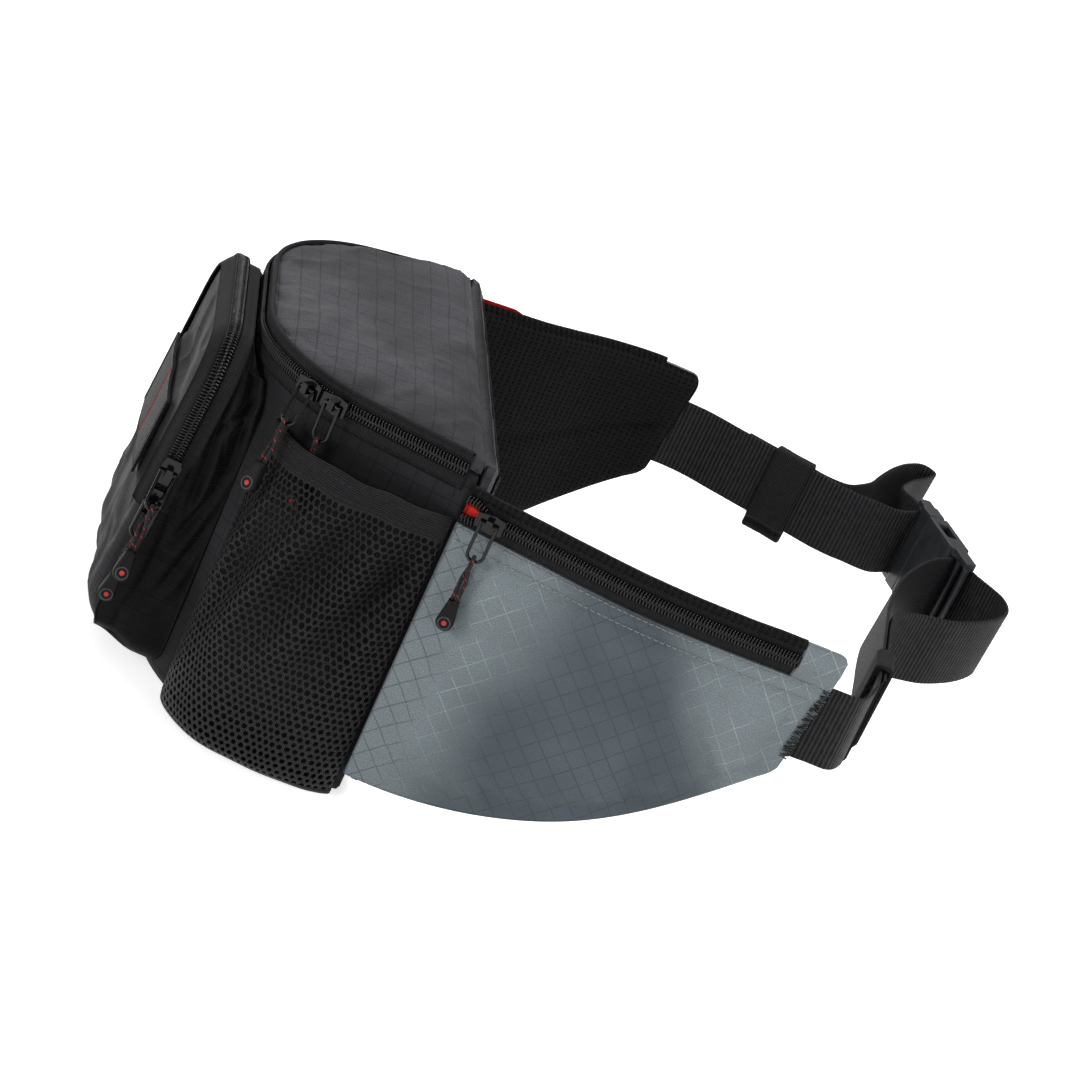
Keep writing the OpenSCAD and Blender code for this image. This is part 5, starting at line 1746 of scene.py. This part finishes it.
    def build_end(self) -> None:
        """Make the patch over the zip's end and the zigzag tack along the wing's end."""
        word = self.word
        s = np.linspace(self.s_of(self.end_y - self.tab_l), self.path.length - 0.2, 22)
        drop = np.linspace(self.zip_w - 0.1, (0.0, 2.4)[self.side], 16)
        lift = 1.6 * bell(drop[None, :], self.coil_drop, 5.0) * smooth(s[-1] - s, 2.0, 12.0)[:, None]
        z = self.top(s)[:, None] - drop[None, :]
        across = np.broadcast_to(s[:, None], z.shape)
        # The patch's cut starts 190 mm along, so that it lies in the slate's painted sheen zone.
        sheet, _ = self.lay(across, self.skin_in + self.skin_t + 0.1 + lift, z, (across - s[0] + 190.0, z))
        patch = sheet.solid(f"wing_end_patch_{word}", self.skin_t * 0.9)
        dress(patch, Cloth.SLATE, "bag", *self.once("wing_end_tabs"))
        noise = Noise(97 + self.side)
        threads = (("tack", 58, 0.42, Cloth.THREAD), ("fray", 50, 0.24, Cloth.PALE_THREAD))
        for name, n, radius, thread in threads:
            k = np.arange(n)
            z = np.linspace(self.bottom(s[-1]) + 6.0, self.top(s[-1]) - self.zip_w + 3.0, n)
            z = z + 0.5 * noise.at(k * 3.0, k, 1.0)
            wide = 1.7 + 0.6 * noise.at(k * 2.0, k + 9.0, 1.0)
            at = self.path.length - 1.7 + wide * np.where(k % 2 == 0, 1.0, -1.0)
            off = self.skin_in + self.skin_t + 0.75 + 0.25 * noise.at(k * 1.0, k + 4.0, 1.0)
            line = self.points(at, off, z)
            dress(tube(f"wing_{name}_{word}", line, radius, 6), thread, "bag")


# ---- belt


@dataclass
class Belt(Sided):
    """One run of 38 mm webbing, from its wing through the buckle's bar and back to its keeper."""

    width: float = 38.0
    thickness: float = 1.5
    middle: float = 128.0
    lap: float = 18.0
    buckle_l: float = 56.0
    turn: float = 11.4
    at: Sequence[float] = (-118.5, 329.8)
    bar_r: float = 2.0
    layer_gap: float = 0.9

    @property
    def tail(self) -> float:
        """Distance between the middles of the webbing's two layers where it lies double."""
        return self.thickness + self.layer_gap

    def run_points(self, s: float, off: float) -> Array:
        """Return a point of the straight stretch that carries the keeper."""
        origin, angle, side = (((113.5, 265.4), 180 - 12.9, 1.0), ((-137.0, 223.0), 63.5, -1.0))[self.side]
        d = heading(angle)
        return np.array(origin) + s * d + off * side * np.array([d[1], -d[0]])

    def line(self) -> Array:
        """Return the middle line of the webbing in plan."""
        wing = Wing(self.side)
        points = curve(list(wing.start) + list(wing.near if self.side == NEAR else wing.far), 5)
        path = Path.through(points, 1.0)
        q = path.points + path.normals * (-self.thickness / 2 - PLAN.fit)
        end, d = q[-1], (q[-1] - q[-2]) / np.linalg.norm(q[-1] - q[-2])
        root = [end - self.lap * d, end - self.lap / 2 * d, end + 2 * d]
        wrap = self.bar_r + PLAN.fit + self.thickness / 2
        at = np.array(self.at)
        if self.side == NEAR:
            bar = at + self.buckle_l * heading(self.turn)
            points = root + [[146, 250], [134, 259]] + [self.run_points(s, 0) for s in (0, 24, 48, 72)]
            points += [[16, 288.5], [-11.5, 297.5], [-39, 313], bar + [6.6, -13.9]]
            points += list(arc(bar, wrap, 205, 75, 5))
            points += [bar + [9.6, 6.6], [-45, 352], [-33, 359], [-18, 357.5], [-3, 346], [11, 325],
                       [17, 305], [27, 291]]
            points += [self.run_points(s, self.tail) for s in (66, 44, 22, 0, -4)]
        else:
            points = [[-p[0], p[1]] for p in root] + [[-143.4, 210]]
            points += [self.run_points(s, 0) for s in (0, 24, 46, 66)]
            points += [[-104.3, 299], [-106, 313], [-111, 323]] + list(arc(at, wrap, -25, 105, 5))
            points += [at - [8.5, 1.8], [-146, 325], [-164, 333], [-179, 345], [-187, 350], [-191, 345],
                       [-182, 334], [-165, 322], [-145, 310], [-125, 298.5], [-114.2, 286]]
            points += [self.run_points(s, self.tail) for s in (56, 40, 24, 8)]
        return curve(points, 14)

    def section(self) -> Array:
        """Return the outline across the webbing, with rounded edges: height and thickness."""
        half, t = self.width / 2, self.thickness / 2
        flat = np.linspace(-half + 3, half - 3, 9)
        outline = [(-half + 0.2, 0.0), (-half, t * 0.55), (-half + 0.7, t)]
        outline += [(z, t * (0.97 + 0.03 * math.cos(z))) for z in flat]
        outline += [(half - 0.7, t), (half, t * 0.55), (half - 0.2, 0.0), (half, -t * 0.55), (half - 0.7, -t)]
        outline += [(z, -t) for z in np.linspace(half - 3, -half + 3, 9)]
        return np.array(outline + [(-half + 0.7, -t), (-half, -t * 0.55)])

    def build(self) -> None:
        """Weave the strap, and let it sag and twist a little where it is free."""
        word = self.word
        path = Path.through(self.line(), 1.0)
        s = np.linspace(0, path.length, int(path.length / 1.6))
        p, n = path.at(s)
        section, noise = self.section(), Noise(101 + self.side)
        free = self.free(p)
        sway = free * (1.6 * noise.layered(s, s * 0, 55.0, 2) - 0.8)
        lean = free * 0.06 * noise.at(s, s * 0 + 5, 48.0)
        off = section[None, :, 1] + lean[:, None] * section[None, :, 0]
        z = self.middle + section[None, :, 0] + sway[:, None]
        grid = np.stack([p[:, :1] + n[:, :1] * off, p[:, 1:] + n[:, 1:] * off, z], -1)
        count = len(section)
        faces = grid_faces(len(s), count, False, True)
        faces += [list(range(count))[::-1], [(len(s) - 1) * count + k for k in range(count)]]
        uv = cloth_map(s, lengths(section)).reshape(-1, 2)
        obj = mesh_object(f"belt_strap_{word}", grid.reshape(-1, 3), faces, uv)
        dress(obj, Cloth.WEBBING, "bag" if self.side == NEAR else "", f"belt_{word}")
        if self.side == FAR:
            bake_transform(obj)

    def free(self, p: Array) -> Array:
        """Return how free the webbing is at points in plan: 0 at its keeper, wing and bar, 1 between them."""
        ends = [self.run_points(s, 0) for s in (-6.0, 70.0)]
        d = (ends[1] - ends[0]) / np.linalg.norm(ends[1] - ends[0])
        along = np.clip((p - ends[0]) @ d, 0, np.linalg.norm(ends[1] - ends[0]))
        away = np.linalg.norm(p - ends[0] - along[:, None] * d, axis=1)
        bar = np.array(self.at) + (self.buckle_l * heading(self.turn) if self.side == NEAR else 0.0)
        held = smooth(np.linalg.norm(p - bar, axis=1), 9.0, 26.0)
        return smooth(away, 3.5, 16.0) * held * smooth(p[:, 1], 240.0 if self.side == NEAR else 212.0, 262.0)


@dataclass
class Keeper(Sided):
    """An elastic sleeve round the doubled webbing."""

    at: float = 15.0
    elastic: float = 1.4
    slack: float = 0.8
    droop: float = 6.0
    corner: float = 1.2
    outer: Sequence[tuple[float, float]] = (
        (-11, 0.25), (-10.6, 0.8), (-10, 1.0), (-5, 0.9), (0, 0.8), (5, 0.9), (10, 1.0), (10.6, 0.8),
        (11, 0.25))

    def build(self) -> None:
        """Sew the sleeve, nipped in at its middle, with a ridge of stitching at its lower edge."""
        belt = Belt(self.side)
        word = self.word
        a, b = (belt.run_points(s, belt.tail / 2) for s in (self.at, self.at + 1))
        d = np.array([*(b - a), 0.0])
        side = np.array([d[1], -d[0], 0.0])
        origin = np.array([*a, belt.middle])
        inner_y, inner_z = (belt.tail + belt.thickness) / 2 + self.slack, belt.width / 2 + self.slack
        wide, tall, foot = inner_y - self.corner, inner_z - self.corner, inner_z - self.corner + self.droop
        corners = [(wide, tall, 0, 90), (-wide, tall, 90, 180), (-wide, -tall, 180, 225),
                   (-0.2, -tall - 2.6, 215, 180), (-0.2, -foot, 180, 270), (0.2, -foot, 270, 360),
                   (0.2, -tall - 2.6, 360, 325), (wide, -tall, 315, 360)]
        outline = [(np.array([y, z]), math.radians(a)) for y, z, first, last in corners
                   for a in np.linspace(first, last, 5)]
        rings = []
        for x, full in (*self.outer, *((x, 0.0) for x in (11, 4, -4, -11))):
            reach = self.corner + self.elastic * full
            ring = [c + reach * np.array([math.cos(t), math.sin(t)]) for c, t in outline]
            rings.append(np.array([origin + x * d + r[0] * side + [0, 0, r[1]] for r in ring]))
        n = len(outline)
        points = np.concatenate(rings)
        faces = grid_faces(len(rings), n, True, True)
        uv = cloth_map(np.linspace(0, 60, len(rings)), lengths(rings[4])).reshape(-1, 2)
        obj = mesh_object(f"keeper_sleeve_{word}", points, faces, uv)
        flip_if_inside_out(obj)
        dress(obj, Cloth.ELASTIC, f"{word}_keeper", f"keeper_{word}")
        parts = []
        for face in (1.0, -1.0):
            for x in np.arange(-9.5, 8.5, 2.6):
                line = [origin + (x + u) * d + face * (1.4 + self.elastic + lift) * side + [0, 0, -tall - 3.4]
                        for u, lift in ((0, -0.5), (0.5, 0.1), (1.0, 0.2), (1.5, 0.1), (2.0, -0.5))]
                parts.append(tube_parts(np.array(line), 0.24, 5, False))
        dress(merged(f"keeper_seam_{word}", parts), Cloth.THREAD, f"{word}_keeper")


def flip_if_inside_out(obj: Piece) -> None:
    """Turn the faces of a closed mesh outward."""
    work = bmesh.new()
    work.from_mesh(obj.data)
    bmesh.ops.recalc_face_normals(work, faces=work.faces)
    if work.calc_volume(signed=True) < 0:
        bmesh.ops.reverse_faces(work, faces=work.faces)
    work.to_mesh(obj.data)
    work.free()


# ---- pulls


@dataclass
class Pull:
    """One zip slider with its wire loop, doubled cord and rubber end."""

    zip_name: str
    place: str
    origin: Sequence[float]
    up: Sequence[float]
    out: Sequence[float]
    tilt: float
    hinge: float = 7.6
    loop_l: float = 20.0
    wire_r: float = 0.8
    cord_r: float = 1.05
    cord_l: float = 20.0
    tip_l: float = 15.0
    tip_r: float = 4.1
    tip_t: float = 5.2
    ring_r: float = 2.75
    dot_r: float = 0.62

    def __post_init__(self) -> None:
        """Work out the directions of the hanging pull."""
        a = math.radians(self.tilt)
        u, n = unit(np.array(self.up, float)), unit(np.array(self.out, float))
        self.pivot = np.array(self.origin, float) + self.hinge * n
        self.down = -math.cos(a) * u + math.sin(a) * n
        self.face = math.sin(a) * u + math.cos(a) * n
        self.wide = np.cross(u, n)

    def point(self, wide: Array, down: Array, face: Array) -> Array:
        """Return points of the hanging pull, measured from its hinge."""
        wide, down, face = np.broadcast_arrays(wide, down, face)
        moves = ((wide, self.wide), (down, self.down), (face, self.face))
        return sum((far[..., None] * way for far, way in moves), self.pivot)

    def name(self, piece: str) -> str:
        """Return the name of one piece of the pull, as in the CAD nodes."""
        return f"{self.zip_name}_{piece}_{self.place}"

    def build(self) -> None:
        """Dress the slider and the loop, and make the cord and the rubber end."""
        body = f"{self.zip_name}_{self.place}_pull"
        redress(self.name("slider"), Cloth.METAL, 0.6)
        redress(self.name("loop"), Cloth.METAL)
        low = self.loop_l - 2 * self.wire_r
        eye = self.wire_r + self.cord_r + 0.15
        a = np.linspace(0, math.pi, 13)
        d = np.linspace(0, self.cord_l, 16)
        gather = eye - (eye - 0.8 * self.cord_r - 0.25) * smooth(d, 1, self.cord_l * 0.75)
        swing = math.radians(78.0) * smooth(d, 2.0, self.cord_l * 0.7)
        spread = np.maximum(gather, self.cord_r + 0.08 * smooth(d, 2.0, 8.0))
        side, lift = spread * np.sin(swing), spread * np.cos(swing)
        front = self.point(side[::-1], low + d[::-1], lift[::-1])
        arch = self.point(0.0, low - eye * np.sin(a), eye * np.cos(a))[1:-1]
        rear = self.point(-side, low + d, -lift)
        cord = tube(self.name("braid"), np.concatenate([front, arch, rear]), self.cord_r, 10)
        dress(cord, Cloth.CORD, body, self.name("cord"))
        self.build_tip(body, low + self.cord_l + 0.1)

    def build_tip(self, body: str, start: float) -> None:
        """Mould the rubber end round the cord, with a raised ring round a plain red dot in its foot."""
        foot = self.tip_l - self.tip_r
        neck = self.tip_r * 0.62
        head = [(self.tip_r * math.cos(t), foot + self.tip_r * math.sin(t))
                for t in np.linspace(-0.1, math.pi + 0.1, 21)]
        outline = [(neck, 0.0), (neck + 0.1, 2.0), *head, (-neck - 0.1, 2.0), (-neck, 0.0)]
        flat = np.array(outline)
        inward = unit(np.array([0.0, foot * 0.62]) - flat)
        rings = []
        half = self.tip_t / 2
        for z, shrink in [(-half, 1.7), (-half + 0.25, 0.75), (-half + 0.9, 0.15), (0, 0),
                          (half - 0.9, 0.15), (half - 0.25, 0.75), (half, 1.7)]:
            p = flat + inward * shrink
            rings.append(self.point(p[:, 0], start + np.clip(p[:, 1], 0.05, self.tip_l - 0.05), z))
        tip = ring_solid(self.name("end"), rings)
        flip_if_inside_out(tip)
        dress(tip, Cloth.RUBBER, body, self.name("tip"))
        turn = np.linspace(0, 2 * math.pi, 32, endpoint=False)
        rim = self.point(self.ring_r * np.cos(turn), start + foot + self.ring_r * np.sin(turn), half - 0.05)
        dress(tube(self.name("rim"), rim, 0.36, 8, True), Cloth.RIM, body)
        turn = turn[::2]
        dot = self.point(self.dot_r * np.cos(turn), start + foot + self.dot_r * np.sin(turn), half - 0.15)
        dress(tube(self.name("dot"), dot, self.dot_r, 8, True), Cloth.ACCENT, body)


def pulls() -> list[Pull]:
    """Return the six pulls at their sliders."""
    out = []
    for place, angle, tilt in (("front", -41.0, 14.0), ("rear", -30.5, -3.0)):
        c, s = math.cos(math.radians(angle)), math.sin(math.radians(angle))
        p = PLAN.corner + PLAN.corner_r * np.array([c, s])
        out.append(Pull("lid", place, (p[0], p[1], PLAN.height), (0, 0, 1), (c, s, 0), tilt))
    pocket = FrontPocket()
    for place, z, tilt in (("upper", 97.0, 16.0), ("lower", 80.5, 0.0)):
        p = pocket.world(np.array([pocket.half, 0.0, z]))
        out.append(Pull("pocket", place, p, pocket.turned([0, 0, 1]), (1, 0, 0), tilt))
    for side in (NEAR, FAR):
        wing = Wing(side)
        first, last = np.array(wing.start[1]), np.array(wing.start[3])
        d = unit(last - first)
        p = first + d * (wing.slider_y - first[1]) / d[1]
        p = p + (wing.skin_in - PLAN.fit) * np.array([d[1], -d[0]])
        share = (wing.slider_y - wing.skin_y) / (wing.end_y - wing.skin_y)
        z = wing.top_root + (wing.top_end - wing.top_root) * share - wing.coil_drop
        m = wing.mirror
        out.append(Pull("wing", wing.word, (m * p[0], p[1], z), (0, 0, 1), (m * d[1], -d[0], 0), 2.0))
    return out


# ---- stage


@dataclass
class Stage:
    """Floor, lights and camera."""

    azimuth: float = 77.0
    elevation: float = 22.0
    roll: float = 25.0
    distance: float = 1463.0
    target: Sequence[float] = (-12.6, 124.1, 99.5)
    lens: float = 100.0
    floor_size: float = 15000.0
    floor_glow: float = 0.66
    sky_level: float = 0.36

    def build(self) -> None:
        """Set up everything that isn't part of the pack."""
        scene = bpy.context.scene
        scene.view_settings.view_transform = "Standard"
        self.build_floor()
        self.build_world()
        self.light("key", (300, 700, 1700), 650, 24.0)
        self.light("side", (900, -1500, 700), 600, 15.0)
        self.light("fill", (1500, 900, 700), 900, 6.0)
        self.light("back", (-1300, -300, 1000), 800, 7.0)
        self.build_camera()

    def build_floor(self) -> None:
        """Lay a wide pale floor that shows white where nothing shades it."""
        corners = self.floor_size * np.array([[-1, -1, 0], [1, -1, 0], [1, 1, 0], [-1, 1, 0]])
        floor = mesh_object("floor", corners, [[0, 1, 2, 3]], np.zeros((4, 2)))
        t = Tree("pale_floor")
        t.done((0.86, 0.86, 0.86), 0.8)
        path = t.add("ShaderNodeLightPath")
        seen = t.math("MAXIMUM", path.outputs["Is Camera Ray"], path.outputs["Is Glossy Ray"])
        seen = t.math("MAXIMUM", seen, path.outputs["Is Transmission Ray"])
        strength = t.math("MULTIPLY", seen, self.floor_glow)
        glow = t.add("ShaderNodeEmission", {"Color": (1.0, 1.0, 1.0), "Strength": strength})
        both = t.add("ShaderNodeAddShader", {0: t.shader.outputs[0], 1: glow.outputs[0]})
        out = next(n for n in t.tree.nodes if n.type == "OUTPUT_MATERIAL")
        t.tree.links.new(both.outputs[0], out.inputs["Surface"])
        floor.data.materials.append(t.material)

    def build_world(self) -> None:
        """Light the scene evenly and show white behind it."""
        world = bpy.data.worlds.new("studio")
        bpy.context.scene.world = world
        world.use_nodes = True
        tree = world.node_tree
        ground = next(n for n in tree.nodes if n.type == "BACKGROUND")
        path = tree.nodes.new("ShaderNodeLightPath")
        most = tree.nodes.new("ShaderNodeMath")
        most.operation = "MAXIMUM"
        tree.links.new(path.outputs["Is Camera Ray"], most.inputs[0])
        tree.links.new(path.outputs["Is Transmission Ray"], most.inputs[1])
        level = tree.nodes.new("ShaderNodeMapRange")
        level.inputs["To Min"].default_value = self.sky_level
        tree.links.new(most.outputs[0], level.inputs["Value"])
        ground.inputs["Color"].default_value = (1.0, 1.0, 1.0, 1.0)
        tree.links.new(level.outputs[0], ground.inputs["Strength"])

    def light(self, name: str, place: Sequence[float], size: float, power: float) -> None:
        """Hang a soft square light that faces the pack."""
        lamp = bpy.data.lights.new(name, "AREA")
        lamp.size, lamp.energy = size * MM, power
        obj = bpy.data.objects.new(name, lamp)
        bpy.context.scene.collection.objects.link(obj)
        obj.location = Vector(place) * MM
        aim = Vector((0.0, 0.1, 0.1)) - obj.location
        obj.rotation_euler = aim.to_track_quat("-Z", "Y").to_euler()

    def build_camera(self) -> None:
        """Place the camera."""
        a, e, r = (math.radians(v) for v in (self.azimuth, self.elevation, self.roll))
        d = Vector((-math.sin(a) * math.cos(e), math.cos(a) * math.cos(e), -math.sin(e)))
        right = d.cross(Vector((0, 0, 1))).normalized()
        up = right.cross(d)
        x = right * math.cos(r) + up * math.sin(r)
        y = up * math.cos(r) - right * math.sin(r)
        camera = bpy.data.cameras.new("camera")
        camera.lens, camera.sensor_width = self.lens, 36.0
        obj = bpy.data.objects.new("camera", camera)
        bpy.context.scene.collection.objects.link(obj)
        place = Vector(self.target) * MM - d * self.distance * MM
        obj.matrix_world = Matrix([(*row, at) for row, at in zip(zip(x, y, -d), place)] + [(0, 0, 0, 1)])
        bpy.context.scene.camera = obj


# ---- the whole pack


def build_lid_zip() -> None:
    """Sew in the lid's zip: one half on the lid, with a strip up over its rim, and one on the bag."""
    run = PLAN.lid_run()
    upper = ([0.3, 1.8, 3.4, 5.0, 6.2, 7.1, 7.6], [1.3, 1.3, 1.3, 1.3, 1.25, 0.7, -0.6])
    lower = ([-0.3, -1.8, -3.4, -5.2, -7.4, -10.3], [1.3, 1.3, 1.3, 1.3, 1.3, 1.2])
    Zip("lid_zip", run, 0.3, run.length - 0.3, "lid", "bag", upper, lower,
        {"tape_upper": "lid_zip_tape_upper", "tape_lower": "lid_zip_tape_lower",
         "coil_upper": "lid_zip_coil_upper", "coil_lower": "lid_zip_coil_lower"}).build()
    s = np.linspace(1.0, run.length - 1.0, 220)
    dress(tube("lid_piping", run.at(s, 7.3, 0.15), 1.15, 10), Cloth.TAPE, "lid")
    seams = (("lid_seam_upper", 5.4, 1.35, "lid"), ("lid_seam_lower", -8.6, 1.4, "bag"))
    for name, across, out, body in seams:
        dress(stitches(name, run, 3.0, run.length - 3.0, across, out), Cloth.THREAD, body)


def main() -> None:
    """Build the pack piece by piece."""
    logging.basicConfig(level=logging.INFO, format="%(name)s: %(message)s")
    Stage().build()
    BagBody().build()
    Lid().build()
    BackPanel().build()
    build_lid_zip()
    FrontPocket().build()
    for side in (NEAR, FAR):
        MeshPocket(side).build()
        Wing(side).build()
    Belt(NEAR).build()
    Belt(FAR).build()
    Keeper(NEAR, 15.0, elastic=1.9, droop=9.0).build()
    Keeper(FAR, 36.0).build()
    for pull in pulls():
        pull.build()
    for node in ("buckle_female", "buckle_male", "latch_arm_upper", "latch_arm_lower"):
        redress(node, Cloth.PLASTIC, 1.0 if node.startswith("buckle") else 0.4, True)


if __name__ == "__main__":
    main()
